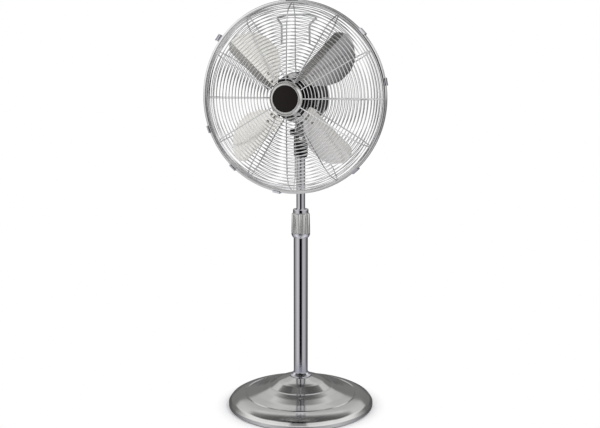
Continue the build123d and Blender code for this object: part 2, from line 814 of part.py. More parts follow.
# Spider: arms shaped to the backs of the blades, around the hub that is keyed to the shaft
with BuildPart() as arm:
    add(blade_sheet(7, 14, 90))
    with BuildSketch(facing(BLADE_Y + 40)):
        Rectangle(78, 22, align=(Align.MIN, Align.CENTER))
        with Locations((78, 0)):
            Circle(11)
    extrude(amount=80, mode=Mode.INTERSECT)
    add(blade_sheet(BLADE_SHEET, 14, 100), mode=Mode.SUBTRACT)
back_of_arm = arm.solids().sort_by(Axis.Y)[-1]
arms = [back_of_arm.rotate(FAN_AXIS, -FIRST_BLADE - 360 / BLADE_COUNT * i) for i in range(BLADE_COUNT)]
with BuildPart() as blade_spider:
    with BuildSketch(facing(BLADE_Y + 14)):
        Circle(22)
    extrude(amount=30)
    add(arms)
    for turned_blade in blades:
        add(turned_blade, mode=Mode.SUBTRACT)
    with BuildSketch(facing(BLADE_Y + 14)):
        Circle(SHAFT_R)
    extrude(amount=40, mode=Mode.SUBTRACT)
blade_spider.part.label = "blade_spider"
export_step(blade_spider.part, "parts/blade_spider.step")

with BuildPart() as blade_nut:
    with BuildSketch(facing(BLADE_Y - 16)):
        RegularPolygon(11, 6)
        Circle(SHAFT_R, mode=Mode.SUBTRACT)
    extrude(amount=9)
blade_nut.part.label = "blade_nut"
export_step(blade_nut.part, "parts/blade_nut.step")
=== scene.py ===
"""A chrome pedestal fan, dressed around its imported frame.

Every sub-assembly is a class that holds its sizes and makes its own pieces. Sizes are in millimetres, places
come from the boxes of the frame's nodes, and a finished mesh is scaled to metres. The studio is in metres.
"""

from __future__ import annotations

import logging
import math
from collections.abc import Iterable, Sequence
from dataclasses import dataclass, field
from enum import Enum
from typing import ClassVar

import bmesh
import bpy
from mathutils import Matrix, Vector

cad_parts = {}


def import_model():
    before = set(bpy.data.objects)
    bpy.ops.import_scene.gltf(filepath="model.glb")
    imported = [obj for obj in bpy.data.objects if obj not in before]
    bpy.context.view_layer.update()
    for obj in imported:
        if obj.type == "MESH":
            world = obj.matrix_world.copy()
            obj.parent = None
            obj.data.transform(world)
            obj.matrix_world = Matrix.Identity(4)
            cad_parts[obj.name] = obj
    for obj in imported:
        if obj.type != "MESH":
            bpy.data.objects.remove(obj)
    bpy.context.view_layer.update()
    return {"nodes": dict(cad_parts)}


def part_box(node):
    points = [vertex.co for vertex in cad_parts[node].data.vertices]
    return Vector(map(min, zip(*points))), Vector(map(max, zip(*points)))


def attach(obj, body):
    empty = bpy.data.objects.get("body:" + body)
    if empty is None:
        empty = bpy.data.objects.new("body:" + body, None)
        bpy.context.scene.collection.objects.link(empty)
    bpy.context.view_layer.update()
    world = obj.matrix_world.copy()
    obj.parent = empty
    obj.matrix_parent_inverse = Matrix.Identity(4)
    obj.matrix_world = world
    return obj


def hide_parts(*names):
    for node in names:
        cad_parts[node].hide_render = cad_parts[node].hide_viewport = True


LOG = logging.getLogger("pedestal_fan")
MM = 0.001
# Points of a mesh that lie closer than this many millimetres are one
WELD = 0.002
# Nearly all values of a noise pattern lie between these
NOISE_LOW, NOISE_HIGH = 0.3, 0.7
# Broad patches of colour, about 80 mm across
PATCH_SCALE = 12.0
ORIGIN = Vector((0, 0, 0))
RIGHT = Vector((1, 0, 0))
BACK = Vector((0, 1, 0))
UP = Vector((0, 0, 1))
FULL_TURN = math.tau

Tree = bpy.types.NodeTree
Socket = bpy.types.NodeSocket
Mesh = bmesh.types.BMesh
Vert = bmesh.types.BMVert
Edge = bmesh.types.BMEdge
Corner = tuple[float, float, float]
Point = tuple[float, float]


class Body(str, Enum):
    """The bodies of the frame that pieces ride on, besides the clips' own."""

    STAND = "stand"
    LOCK_COLLAR = "lock_collar"
    MAST = "mast"
    TILT_KNOB = "tilt_knob"
    HEAD = "head"
    OSCILLATION_KNOB = "oscillation_knob"
    SPEED_KNOB = "speed_knob"
    ROTOR = "rotor"


# ---------------------------------------------------------------- finishes


def linear(colour: str) -> tuple[float, float, float, float]:
    """Turns an sRGB hex colour to linear light.

    Args:
        colour: six hex digits after a hash sign.

    Returns:
        Red, green, blue and an alpha of one.
    """
    parts = [int(colour[i : i + 2], 16) / 255 for i in (1, 3, 5)]
    light = [c / 12.92 if c <= 0.04045 else ((c + 0.055) / 1.055) ** 2.4 for c in parts]
    return (light[0], light[1], light[2], 1.0)


def empty_tree(owner: bpy.types.Material | bpy.types.World) -> Tree:
    """Turns on the nodes of a material or a world, and clears them.

    Args:
        owner: the material or the world.

    Returns:
        Its empty node tree.
    """
    owner.use_nodes = True
    owner.node_tree.nodes.clear()
    return owner.node_tree


def add_node(
    tree: Tree, kind: str, inputs: dict[str | int, object] | None = None, **settings: object
) -> bpy.types.Node:
    """Adds one node with its settings, values and links.

    Args:
        tree: the node tree that gets the node.
        kind: Blender's name of the node type.
        inputs: socket name or number to a value, or to an output socket that is linked to it.
        settings: properties of the node itself.

    Returns:
        The new node.
    """
    made = tree.nodes.new(kind)
    for name, value in settings.items():
        setattr(made, name, value)
    for name, value in (inputs or {}).items():
        if isinstance(value, Socket):
            tree.links.new(value, made.inputs[name])
        else:
            made.inputs[name].default_value = value
    return made


@dataclass(frozen=True)
class Finish:
    """A finish with one colour, a fine grain in its gloss and a fine relief."""

    name: str
    colour: str
    metallic: float = 0.0
    roughness: float = 0.4
    roughness_spread: float = 0.06
    grain: float = 1.0
    relief: float = 0.02
    colour_spread: float = 0.0
    coat: float = 0.0
    anisotropy: float = 0.0
    turn: float = 0.0
    specular: float = 0.5

    def material(self) -> bpy.types.Material:
        """The Blender material of this finish, made on first use."""
        found = bpy.data.materials.get(self.name)
        if found:
            return found
        made = bpy.data.materials.new(self.name)
        tree = empty_tree(made)
        place = add_node(tree, "ShaderNodeTexCoord").outputs["Object"]
        inputs = {
            "Base Color": linear(self.colour),
            "Metallic": self.metallic,
            "Roughness": self.roughness,
            "Coat Weight": self.coat,
            "Coat Roughness": 0.1,
            "Anisotropic": self.anisotropy,
            "Anisotropic Rotation": self.turn,
            "Specular IOR Level": self.specular,
        }
        shader = add_node(tree, "ShaderNodeBsdfPrincipled", inputs | self.pattern(tree, place))
        add_node(tree, "ShaderNodeOutputMaterial", {"Surface": shader.outputs["BSDF"]})
        return made

    def pattern(self, tree: Tree, place: Socket) -> dict[str, Socket]:
        """What varies over the surface.

        Args:
            tree: the material's node tree.
            place: where the surface is, in the piece's own coordinates.

        Returns:
            Input names of the shader with the sockets that drive them.
        """
        inputs = {"Vector": place, "Scale": 1 / (self.grain * MM), "Detail": 3.0, "Roughness": 0.6}
        driven = self.gloss_and_relief(tree, add_node(tree, "ShaderNodeTexNoise", inputs).outputs["Fac"])
        if self.colour_spread:
            broad = {"Vector": place, "Scale": PATCH_SCALE, "Detail": 4.0}
            patches = add_node(tree, "ShaderNodeTexNoise", broad)
            driven["Base Color"] = self.shaded(tree, patches.outputs["Fac"])
        return driven

    def gloss_and_relief(self, tree: Tree, value: Socket) -> dict[str, Socket]:
        """Lets one pattern drive the roughness and the relief.

        Args:
            tree: the material's node tree.
            value: the pattern, about a half on average.

        Returns:
            The driven inputs of the shader.
        """
        spread = {
            "Value": value,
            "From Min": NOISE_LOW,
            "From Max": NOISE_HIGH,
            "To Min": max(self.roughness - self.roughness_spread, 0.02),
            "To Max": self.roughness + self.roughness_spread,
        }
        gloss = add_node(tree, "ShaderNodeMapRange", spread)
        height = {"Height": value, "Strength": 1.0, "Distance": self.relief * self.grain * MM}
        bump = add_node(tree, "ShaderNodeBump", height)
        return {"Roughness": gloss.outputs["Result"], "Normal": bump.outputs["Normal"]}

    def shaded(self, tree: Tree, share: Socket) -> Socket:
        """The colour, darker where a pattern is high.

        Args:
            tree: the material's node tree.
            share: the pattern.

        Returns:
            The socket that carries the colour.
        """
        dark = tuple(c * (1 - self.colour_spread) for c in linear(self.colour)[:3]) + (1.0,)
        colours = {"Factor": share, "A": linear(self.colour), "B": dark}
        return add_node(tree, "ShaderNodeMix", colours, data_type="RGBA").outputs["Result"]


@dataclass(frozen=True)
class SpunBrushing(Finish):
    """Metal brushed while it spins upright: fine rings, which stretch reflections across them."""

    def pattern(self, tree: Tree, place: Socket) -> dict[str, Socket]:
        """Rings of fine scratches, with a tangent that runs along them.

        Args:
            tree: the material's node tree.
            place: where the surface is, in the piece's own coordinates.

        Returns:
            Input names of the shader with the sockets that drive them.
        """
        spoke = add_node(tree, "ShaderNodeVectorMath", {0: place, 1: (1, 1, 0)}, operation="MULTIPLY")
        along = add_node(tree, "ShaderNodeVectorMath", {0: UP, 1: place}, operation="CROSS_PRODUCT")
        radius = add_node(tree, "ShaderNodeVectorMath", {0: spoke.outputs["Vector"]}, operation="LENGTH")
        # the rings are drawn a little coarser than real brushing, which would be too fine to see
        inputs = {
            "W": radius.outputs["Value"],
            "Scale": 1 / (self.grain * MM),
            "Detail": 4.0,
            "Roughness": 0.75,
        }
        rings = add_node(tree, "ShaderNodeTexNoise", inputs, noise_dimensions="1D").outputs["Fac"]
        driven = {"Tangent": along.outputs["Vector"], "Base Color": self.shaded(tree, rings)}
        return driven | self.gloss_and_relief(tree, rings)


@dataclass(frozen=True)
class Layered(Finish):
    """Layers of sheet or turns of wire, seen as fine bands along one axis, one to each grain."""

    direction: str = "Y"
    gap_colour: str = "#101010"

    def pattern(self, tree: Tree, place: Socket) -> dict[str, Socket]:
        """Bands with dark gaps, as colour and as relief.

        Args:
            tree: the material's node tree.
            place: where the surface is, in the piece's own coordinates.

        Returns:
            Input names of the shader with the sockets that drive them.
        """
        # at a scale of one, a wave pattern has 20 bands to a full turn's length
        scale = FULL_TURN / 20 / (self.grain * MM)
        inputs = {"Vector": place, "Scale": scale, "Distortion": 0.4, "Detail": 1.0}
        bands = add_node(tree, "ShaderNodeTexWave", inputs, bands_direction=self.direction).outputs["Fac"]
        colours = {"Factor": bands, "A": linear(self.gap_colour), "B": linear(self.colour)}
        mix = add_node(tree, "ShaderNodeMix", colours, data_type="RGBA")
        height = {"Height": bands, "Strength": 1.0, "Distance": self.relief * self.grain * MM}
        bump = add_node(tree, "ShaderNodeBump", height)
        return {"Base Color": mix.outputs["Result"], "Normal": bump.outputs["Normal"]}


# Steel tube and wire, polished and chrome plated: a near mirror with a faint ripple
CHROME = Finish("chrome_plate", "#E4E4EA", 1.0, 0.06, 0.02, 6.0, 0.003)
# Chrome on drawn wire: the die leaves it slightly duller than a polished tube
WIRE_CHROME = Finish("chrome_wire", "#ECECEC", 1.0, 0.12, 0.05, 3.0, 0.01)
# Collar moulded and satin plated: bright, with soft reflections
SATIN_PLATE = Finish("satin_plate", "#E6E6E4", 1.0, 0.24, 0.04, 1.5, 0.01)
# Steel spun over a form, brushed on the lathe and nickel plated: warm grey with fanned highlights
SPUN_NICKEL = SpunBrushing(
    "spun_nickel", "#E6E6E4", 1.0, 0.165, 0.03, 1.6, 0.004, 0.12, anisotropy=0.88, turn=0.25
)
# Pressed aluminium sheet with a satin polish: pale, with broad soft reflections
BLADE_SHEET = Finish("blade_sheet", "#F8F6F1", 1.0, 0.19, 0.05, 1.2, 0.02, 0.04)
# Stove enamel on steel: semi-gloss black with a slight orange peel
ENAMEL = Finish("black_enamel", "#1A1B1D", 0.0, 0.3, 0.06, 1.6, 0.05, 0.2, coat=0.3)
# Moulded black plastic with a fine spark-eroded texture
BLACK_PLASTIC = Finish("textured_black_plastic", "#151517", 0.0, 0.48, 0.08, 0.9, 0.12, 0.15)
# Plain black disc, lacquered satin: nearly no reflection when seen from the front
BADGE_BLACK = Finish("badge_lacquer", "#160F0F", 0.0, 0.3, 0.04, 2.0, 0.004, specular=0.22)
# Black plastic moulded in a polished tool: glossy, with clear reflections
GLOSS_PLASTIC = Finish("gloss_black_plastic", "#111113", 0.0, 0.16, 0.04, 2.0, 0.02, 0.1)
# Die-cast zinc alloy, tumbled: grey and softly grainy
CAST_ALLOY = Finish("cast_alloy", "#B4B4B0", 1.0, 0.44, 0.08, 1.4, 0.08, 0.18)
# Die-cast hub, blackened: dark grey with a dull gloss
CAST_BLACK = Finish("blackened_alloy", "#3C3C3C", 1.0, 0.42, 0.08, 1.4, 0.08, 0.2)
# Zinc plated steel of pins, nuts and screws: pale grey, with a satin gloss
ZINC = Finish("zinc_plate", "#B4B4AE", 1.0, 0.33, 0.08, 1.0, 0.04, 0.12)
# Natural nylon of bushes and collets: milky and waxy
NYLON = Finish("moulded_nylon", "#D8D2C2", 0.0, 0.4, 0.05, 1.5, 0.03, 0.06)
# Vulcanised rubber feet: matt, with a fine mould texture
RUBBER = Finish("vulcanised_rubber", "#1C1C1C", 0.0, 0.78, 0.08, 1.0, 0.15, 0.2)
# Sand-cast iron weight under black primer: dull, dark and rough
CAST_IRON = Finish("cast_iron", "#2B2B2A", 0.3, 0.68, 0.12, 2.2, 0.3, 0.35)
# Oil-soaked sintered bronze: brown gold, with a fine grain
BRONZE = Finish("oiled_bronze", "#9C7A4E", 1.0, 0.42, 0.1, 0.8, 0.08, 0.25)
# Stack of varnished electrical steel sheets: grey edges with dark gaps
LAMINATIONS = Layered(
    "steel_laminations", "#77787A", 1.0, 0.4, relief=0.2, direction="Y", gap_colour="#26272A"
)
# Enamelled copper wire, wound in layers: red brown bands
COPPER = Layered(
    "enamelled_copper", "#A0562B", 0.9, 0.35, grain=1.2, relief=0.2, direction="X", gap_colour="#3A1C0E"
)
# White printing ink on the dial: flat and matt
DIAL_INK = Finish("dial_ink", "#E4E4E0", 0.0, 0.55, 0.05, 0.8, 0.02)

NODE_FINISHES = {
    CAST_IRON: ("base_weight",),
    RUBBER: ("rubber_feet",),
    ZINC: ("pole_bolt", "tube_plug", "tilt_pin", "swivel_pin", "badge_plate", "shaft", "blade_nut"),
    NYLON: ("guide_bush", "collet", "tube_slider"),
    CAST_ALLOY: ("tilt_fork", "neck", "swivel_boss"),
    LAMINATIONS: ("stator", "rotor_core"),
    COPPER: ("windings",),
    BLACK_PLASTIC: ("gear_case", "capacitor", "speed_switch", "cord_gland", "guard_nut"),
    BRONZE: ("shaft_bushes",),
    CAST_BLACK: ("blade_spider",),
}


# ---------------------------------------------------------------- modelling tools


def box(node: str) -> tuple[Vector, Vector]:
    """The low and the high corner of a node's box, in millimetres."""
    low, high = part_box(node)
    return low / MM, high / MM


def extent(node: str) -> tuple[float, Vector, Vector]:
    """Half the width of a node's box, and the box's corners."""
    low, high = box(node)
    return (high.x - low.x) / 2, low, high


def middle(node: str) -> Vector:
    """The middle of a node's box."""
    low, high = box(node)
    return (low + high) / 2


def axis_point(node: str = "shaft") -> Vector:
    """Where the front-to-back axis through a node's middle, the shaft's if none is named, crosses y = 0."""
    centre = middle(node)
    return Vector((centre.x, 0, centre.z))


def rounded(corners: Sequence[Corner], steps: int = 5) -> list[tuple[float, float]]:
    """Rounds the inner corners of an open outline.

    Args:
        corners: (across, along, fillet radius) of each corner; the first and last stay sharp.
        steps: points that each fillet is divided by.

    Returns:
        The outline's points.
    """
    points = [Vector(corner[:2]) for corner in corners]
    made = [points[0]]
    for i in range(1, len(corners) - 1):
        fillet = corners[i][2]
        here, to_last, to_next = points[i], points[i - 1] - points[i], points[i + 1] - points[i]
        between = to_last.angle(to_next, math.pi)
        reach = fillet / math.tan(between / 2) if 0.01 < between < math.pi - 0.01 else 0.0
        if reach < 1e-4:
            made.append(here)
            continue
        start, end = here + to_last.normalized() * reach, here + to_next.normalized() * reach
        inwards = (to_last.normalized() + to_next.normalized()).normalized()
        centre = here + inwards * (fillet / math.sin(between / 2))
        first, last = start - centre, end - centre
        turn = first.angle_signed(last)
        made += [centre + Matrix.Rotation(-turn * k / steps, 2) @ first for k in range(steps + 1)]
    made.append(points[-1])
    return [(p.x, p.y) for p in made]


def turned(
    corners: Sequence[Corner],
    centre: Vector = ORIGIN,
    axis: Vector = UP,
    steps: int = 96,
    arc: int = 5,
    closed: bool = False,
) -> Mesh:
    """Turns an outline about an axis, as on a lathe.

    Args:
        corners: (radius, place along the axis, fillet radius) of each corner.
        centre: the axis's zero point.
        axis: the axis's direction.
        steps: flats round the turn.
        arc: points that each fillet is divided by.
        closed: whether the last point joins the first.

    Returns:
        A mesh with its doubles merged.
    """
    bm = bmesh.new()
    outline = rounded(corners, arc)
    verts = [bm.verts.new(centre + RIGHT * radius + axis * along) for radius, along in outline]
    pairs = list(zip(verts, verts[1:])) + ([(verts[-1], verts[0])] if closed else [])
    edges = [bm.edges.new(pair) for pair in pairs]
    geom = verts + edges
    bmesh.ops.spin(bm, geom=geom, cent=centre, axis=axis, angle=FULL_TURN, steps=steps, use_merge=True)
    bmesh.ops.remove_doubles(bm, verts=bm.verts[:], dist=WELD)
    bmesh.ops.dissolve_degenerate(bm, edges=bm.edges[:], dist=WELD / 2)
    return bm


def verts_of(geom: Iterable[object]) -> list[Vert]:
    """The vertices among what an operator gave back."""
    return [g for g in geom if isinstance(g, Vert)]


def pulled(bm: Mesh, edges: Sequence[Edge]) -> tuple[list[Vert], list[Edge]]:
    """Extrudes edges in place.

    Args:
        bm: the mesh.
        edges: the edges to pull out.

    Returns:
        The new vertices, and the new edges that are still free.
    """
    made = bmesh.ops.extrude_edge_only(bm, edges=edges)["geom"]
    return verts_of(made), [g for g in made if isinstance(g, Edge) and len(g.link_faces) == 1]


def doubled(bm: Mesh, faces: list[bmesh.types.BMFace]) -> list[Vert]:
    """Extrudes a patch of faces in place.

    Args:
        bm: the mesh.
        faces: the patch, which is taken away.

    Returns:
        The vertices of the new patch.
    """
    made = bmesh.ops.extrude_face_region(bm, geom=faces)["geom"]
    bmesh.ops.delete(bm, geom=faces, context="FACES_ONLY")
    return verts_of(made)


def scored(bm: Mesh, place: Vector, direction: Vector) -> None:
    """Cuts every face of a mesh along a plane, and keeps both sides.

    Args:
        bm: the mesh.
        place: a point on the plane.
        direction: the plane's normal.
    """
    geom = bm.verts[:] + bm.edges[:] + bm.faces[:]
    bmesh.ops.bisect_plane(bm, geom=geom, plane_co=place, plane_no=direction)


def swung(bm: Mesh, verts: Sequence[Vert], centre: Vector, angle: float, axis: Vector) -> None:
    """Turns some vertices about an axis.

    Args:
        bm: the mesh.
        verts: the vertices to turn.
        centre: a point on the axis.
        angle: the turn in radians.
        axis: the axis's direction.
    """
    bmesh.ops.rotate(bm, verts=verts, cent=centre, matrix=Matrix.Rotation(angle, 3, axis))


def eased_block(bm: Mesh, centre: Vector, size: Corner, ease: float, segments: int) -> None:
    """Adds a block with rounded edges.

    Args:
        bm: the mesh that the block is added to.
        centre: the block's middle.
        size: its width, depth and height.
        ease: how far the rounding reaches from each edge.
        segments: flats across the rounding.
    """
    stand = Matrix.Translation(centre) @ Matrix.Diagonal((*size, 1))
    verts = bmesh.ops.create_cube(bm, size=1, matrix=stand)["verts"]
    edges = list({edge for vert in verts for edge in vert.link_edges})
    bmesh.ops.bevel(
        bm, geom=edges, offset=ease, segments=segments, profile=0.5, affect="EDGES", material=-1
    )


def merge_into(target: Mesh, source: Mesh) -> None:
    """Adds one mesh to another and frees it.

    Args:
        target: the mesh that grows.
        source: the mesh that is used up.
    """
    carrier = bpy.data.meshes.new("carrier")
    source.to_mesh(carrier)
    source.free()
    target.from_mesh(carrier)
    bpy.data.meshes.remove(carrier)


class Wire:
    """A round wire that is drawn straight or bent, one run after another."""

    def __init__(self, bm: Mesh, start: Vector, heading: Vector, diameter: float, sides: int = 8) -> None:
        """Cuts the wire's first end.

        Args:
            bm: the mesh that the wire is added to.
            start: the middle of the first end.
            heading: the direction in which the wire sets out.
            diameter: the wire's diameter.
            sides: flats round the wire.
        """
        self.bm = bm
        self.place = start.copy()
        self.heading = heading.normalized()
        stand = Matrix.Translation(start) @ self.heading.to_track_quat("Z", "Y").to_matrix().to_4x4()
        made = bmesh.ops.create_circle(bm, cap_ends=False, radius=diameter / 2, segments=sides, matrix=stand)
        self.end_verts = made["verts"]
        self.end_edges = list({edge for vert in made["verts"] for edge in vert.link_edges})
        self.first_edges = self.end_edges[:]

    def straight(self, length: float) -> Wire:
        """Draws the wire straight on.

        Args:
            length: how far.

        Returns:
            The wire itself.
        """
        self.end_verts, self.end_edges = pulled(self.bm, self.end_edges)
        bmesh.ops.translate(self.bm, verts=self.end_verts, vec=self.heading * length)
        self.place += self.heading * length
        return self

    def bend(self, angle: float, radius: float, axis: Vector, steps: int) -> Wire:
        """Bends the wire round a pin.

        Args:
            angle: how far the heading turns about the axis.
            radius: the bend's radius at the middle of the wire.
            axis: the pin's direction.
            steps: straight bits that the bend is divided by.

        Returns:
            The wire itself.
        """
        centre = self.place + axis.cross(self.heading) * radius
        geom = self.end_verts + self.end_edges
        made = bmesh.ops.spin(self.bm, geom=geom, cent=centre, axis=axis, angle=angle, steps=steps)
        self.end_verts = verts_of(made["geom_last"])
        self.end_edges = [g for g in made["geom_last"] if isinstance(g, Edge)]
        turn = Matrix.Rotation(angle, 3, axis)
        self.place = centre + turn @ (self.place - centre)
        self.heading = (turn @ self.heading).normalized()
        return self

    def along(self, points: Sequence[Vector], radii: Sequence[float], steps: int) -> Wire:
        """Follows straight runs from the present place through points, with a bend at each but the last.

        Args:
            points: the corners to come, and the far end.
            radii: the radius of the bend at each corner.
            steps: straight bits that each bend is divided by.

        Returns:
            The wire itself.
        """
        for corner, beyond, radius in zip(points, points[1:], radii):
            turn = self.heading.angle(beyond - corner)
            cut = radius * math.tan(turn / 2)
            axis = self.heading.cross(beyond - corner).normalized()
            self.straight((corner - self.place).length - cut).bend(turn, radius, axis, steps)
        return self.straight((points[-1] - self.place).length)

    def capped(self) -> None:
        """Closes both ends of the wire."""
        bmesh.ops.holes_fill(self.bm, edges=self.first_edges + self.end_edges, sides=0)


def copies_about(bm: Mesh, centre: Vector, count: int, since: int = 0) -> None:
    """Repeats what was added to a mesh evenly about a front-to-back axis.

    Args:
        bm: the mesh.
        centre: a point on the axis.
        count: how many there are in the end.
        since: how many of the mesh's vertices came before the part that is repeated.
    """
    bm.verts.ensure_lookup_table()
    part = set(bm.verts[since:])
    geom = [*part, *(e for e in bm.edges if e.verts[0] in part), *(f for f in bm.faces if f.verts[0] in part)]
    for k in range(1, count):
        made = bmesh.ops.duplicate(bm, geom=geom)["geom"]
        swung(bm, verts_of(made), centre, FULL_TURN / count * k, BACK)


def placed(bm: Mesh, name: str) -> bpy.types.Object:
    """Makes an object of a mesh and puts it in the scene.

    Args:
        bm: the mesh, which is used up.
        name: the object's name.

    Returns:
        The new object.
    """
    mesh = bpy.data.meshes.new(name)
    bm.to_mesh(mesh)
    bm.free()
    made = bpy.data.objects.new(name, mesh)
    bpy.context.scene.collection.objects.link(made)
    return made


def finished(
    bm: Mesh,
    name: str,
    finish: Finish,
    body: Body | str,
    stands_for: str = "",
    crease: float = 35.0,
) -> None:
    """Makes an object of a mesh, in metres, gives it its finish and lets it ride.

    Args:
        bm: the mesh, which is used up.
        name: the piece's name.
        finish: the finish of the whole piece.
        body: the body that the piece rides on.
        stands_for: the frame's node that the piece replaces, if any.
        crease: the angle in degrees past which an edge stays sharp.
    """
    bmesh.ops.remove_doubles(bm, verts=bm.verts[:], dist=WELD)
    bmesh.ops.recalc_face_normals(bm, faces=bm.faces[:])
    for face in bm.faces:
        face.smooth = True
    for edge in bm.edges:
        edge.smooth = len(edge.link_faces) == 2 and edge.calc_face_angle(0.0) < math.radians(crease)
    bmesh.ops.scale(bm, verts=bm.verts[:], vec=(MM, MM, MM))
    piece = placed(bm, name)
    piece.data.materials.append(finish.material())
    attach(piece, body.value if isinstance(body, Body) else body)
    if stands_for:
        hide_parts(stands_for)
    LOG.info("%s: %d faces", name, len(piece.data.polygons))


# ---------------------------------------------------------------- stand


@dataclass
class Base:
    """Round spun base with its foot collar."""

    boss_radius: float = 61.5
    step_radius: float = 80.0
    groove_radius: float = 141.0
    lip_height: float = 8.5

    def build(self) -> None:
        """Makes the cover and the foot collar."""
        self.make_cover()
        self.make_foot_collar()

    def make_cover(self) -> None:
        """Spins the cover: boss, step, gentle cone, groove, rounded shoulder and an upright lip."""
        radius, low, high = extent("base_cover")
        top, foot, lip = high.z, low.z, low.z + self.lip_height
        boss, step, groove = self.boss_radius, self.step_radius, self.groove_radius
        bore = box("outer_tube")[1].x + 0.5
        outline = [
            (bore, top, 0),
            (extent("base_collar")[0], top - 0.6, 4),
            (boss - 9, top - 8, 30),
            (boss, top - 12, 2.5),
            (step, top - 24.4, 0.8),
            (step + 4, top - 25.4, 1.2),
            (groove - 44, top - 32, 60),
            (groove - 24, top - 39.4, 70),
            (groove - 2.4, top - 44.8, 1),
            (groove - 0.8, top - 46.6, 0.4),
            (groove + 0.8, top - 46.6, 0.4),
            (groove + 2.6, top - 45.2, 1.2),
            (radius - 22, top - 49, 60),
            (radius - 6.5, top - 57.6, 14),
            (radius - 0.8, lip + 1.4, 2),
            (radius, lip, 0.8),
            (radius, lip - 1.2, 0),
            (radius, foot + 1.4, 0),
            (radius, foot, 1),
            (radius - 3, foot, 0.8),
            (radius - 3, lip, 2),
            (radius - 26, top - 55, 20),
            (boss, top - 19, 20),
            (bore, top - 3, 0),
        ]
        bm = turned(outline, steps=160, arc=6, closed=True)
        finished(bm, "base_cover_spun", SPUN_NICKEL, Body.STAND, "base_cover")

    def make_foot_collar(self) -> None:
        """Turns the flared collar at the foot of the pole."""
        radius, low, high = extent("base_collar")
        inner = box("outer_tube")[1].x
        outline = [
            (inner, low.z, 0),
            (radius, low.z, 0.6),
            (radius, low.z + 2.6, 1.2),
            (radius - 4.5, low.z + 4.6, 4),
            (inner + 1.4, high.z, 0.8),
            (inner, high.z, 0),
        ]
        bm = turned(outline, closed=True)
        finished(bm, "foot_collar", CHROME, Body.STAND, "base_collar")


@dataclass
class Pole:
    """The two tubes of the telescopic pole."""

    wall: float = 1.4
    rim: float = 0.5
    # An edge loop this far from each end keeps the long wall's shading straight up to the eased rim
    hold: float = 1.5

    def build(self) -> None:
        """Makes both tubes."""
        self.make_tube("outer_tube", "pole_outer", Body.STAND)
        self.make_tube("inner_tube", "pole_inner", Body.MAST)

    def make_tube(self, node: str, name: str, body: Body) -> None:
        """Turns one tube with eased rims.

        Args:
            node: the tube's node in the frame.
            name: the piece's name.
            body: the body that it rides on.
        """
        radius, low, high = extent(node)
        outline = [
            (radius - self.wall, low.z, 0),
            (radius, low.z, self.rim),
            (radius, low.z + self.hold, 0),
            (radius, high.z - self.hold, 0),
            (radius, high.z, self.rim),
            (radius - self.wall, high.z, self.rim),
            (radius - self.wall, low.z, 0),
        ]
        finished(turned(outline, arc=3), name, CHROME, body, node)


@dataclass
class LockCollar:
    """Fluted clamping collar between the tubes, its skirt and its cap."""

    flutes: int = 12
    flute_depth: float = 1.5
    taper: float = 1.3
    ease: float = 1.0
    around: int = 240

    def build(self) -> None:
        """Makes the skirt, the fluted grip and the cap."""
        self.make_skirt()
        self.make_grip()
        self.make_cap()

    def make_skirt(self) -> None:
        """Turns the polished skirt on the outer tube."""
        radius, low, high = extent("collar_skirt")
        inner, shoulder = box("outer_tube")[1].x, box("lock_collar")[0].z - 0.5
        outline = [
            (inner, low.z, 0),
            (inner + 1.6, low.z, 0.8),
            (radius - 1.2, low.z + 4.5, 5),
            (radius, shoulder - 2.9, 2),
            (radius, shoulder, 0.6),
            (inner + 2.5, shoulder, 0.4),
            (inner + 2.5, high.z, 0.4),
            (inner, high.z, 0),
        ]
        bm = turned(outline, closed=True)
        finished(bm, "collar_skirt_turned", CHROME, Body.STAND, "collar_skirt")

    def make_grip(self) -> None:
        """Draws the fluted section up with a slight taper, bores it and eases its ends."""
        radius, low, high = extent("lock_collar")
        bore = box("inner_tube")[1].x + 0.6
        bm = bmesh.new()
        stand = Matrix.Translation((0, 0, low.z))
        bmesh.ops.create_circle(bm, cap_ends=False, radius=radius, segments=self.around, matrix=stand)
        for vert in bm.verts:
            angle = math.atan2(vert.co.y, vert.co.x) * self.flutes
            hollow = max(0.0, -math.cos(angle)) ** 0.7 * self.flute_depth
            vert.co.xy *= (radius - hollow) / radius
        last = radius - self.ease
        bmesh.ops.scale(bm, verts=bm.verts[:], vec=(last / radius, last / radius, 1))
        edges = bm.edges[:]
        levels = ((low.z + 1.2, 0.0), (high.z - 1.2, self.taper), (high.z, self.taper + self.ease))
        for height, inset in levels:
            verts, edges = pulled(bm, edges)
            factor = (radius - inset) / last
            bmesh.ops.scale(bm, verts=verts, vec=(factor, factor, 1))
            for vert in verts:
                vert.co.z = height
            last = radius - inset
        verts, edges = pulled(bm, edges)
        for vert in verts:
            vert.co.xy = vert.co.xy.normalized() * bore
        for vert in pulled(bm, edges)[0]:
            vert.co.z = low.z
        bmesh.ops.bridge_loops(bm, edges=[edge for edge in bm.edges if len(edge.link_faces) == 1])
        finished(bm, "collar_grip", SATIN_PLATE, Body.LOCK_COLLAR, "lock_collar")

    def make_cap(self) -> None:
        """Turns the polished ring on top of the grip."""
        radius, low, high = extent("lock_cap")
        bore = box("inner_tube")[1].x + 0.4
        outline = [
            (bore, low.z, 0),
            (radius - 0.6, low.z, 0.4),
            (radius, low.z + 1.6, 1),
            (radius, high.z, 2.2),
            (bore, high.z, 0.8),
            (bore, low.z, 0),
        ]
        finished(turned(outline), "collar_cap", CHROME, Body.LOCK_COLLAR, "lock_cap")


# ---------------------------------------------------------------- neck


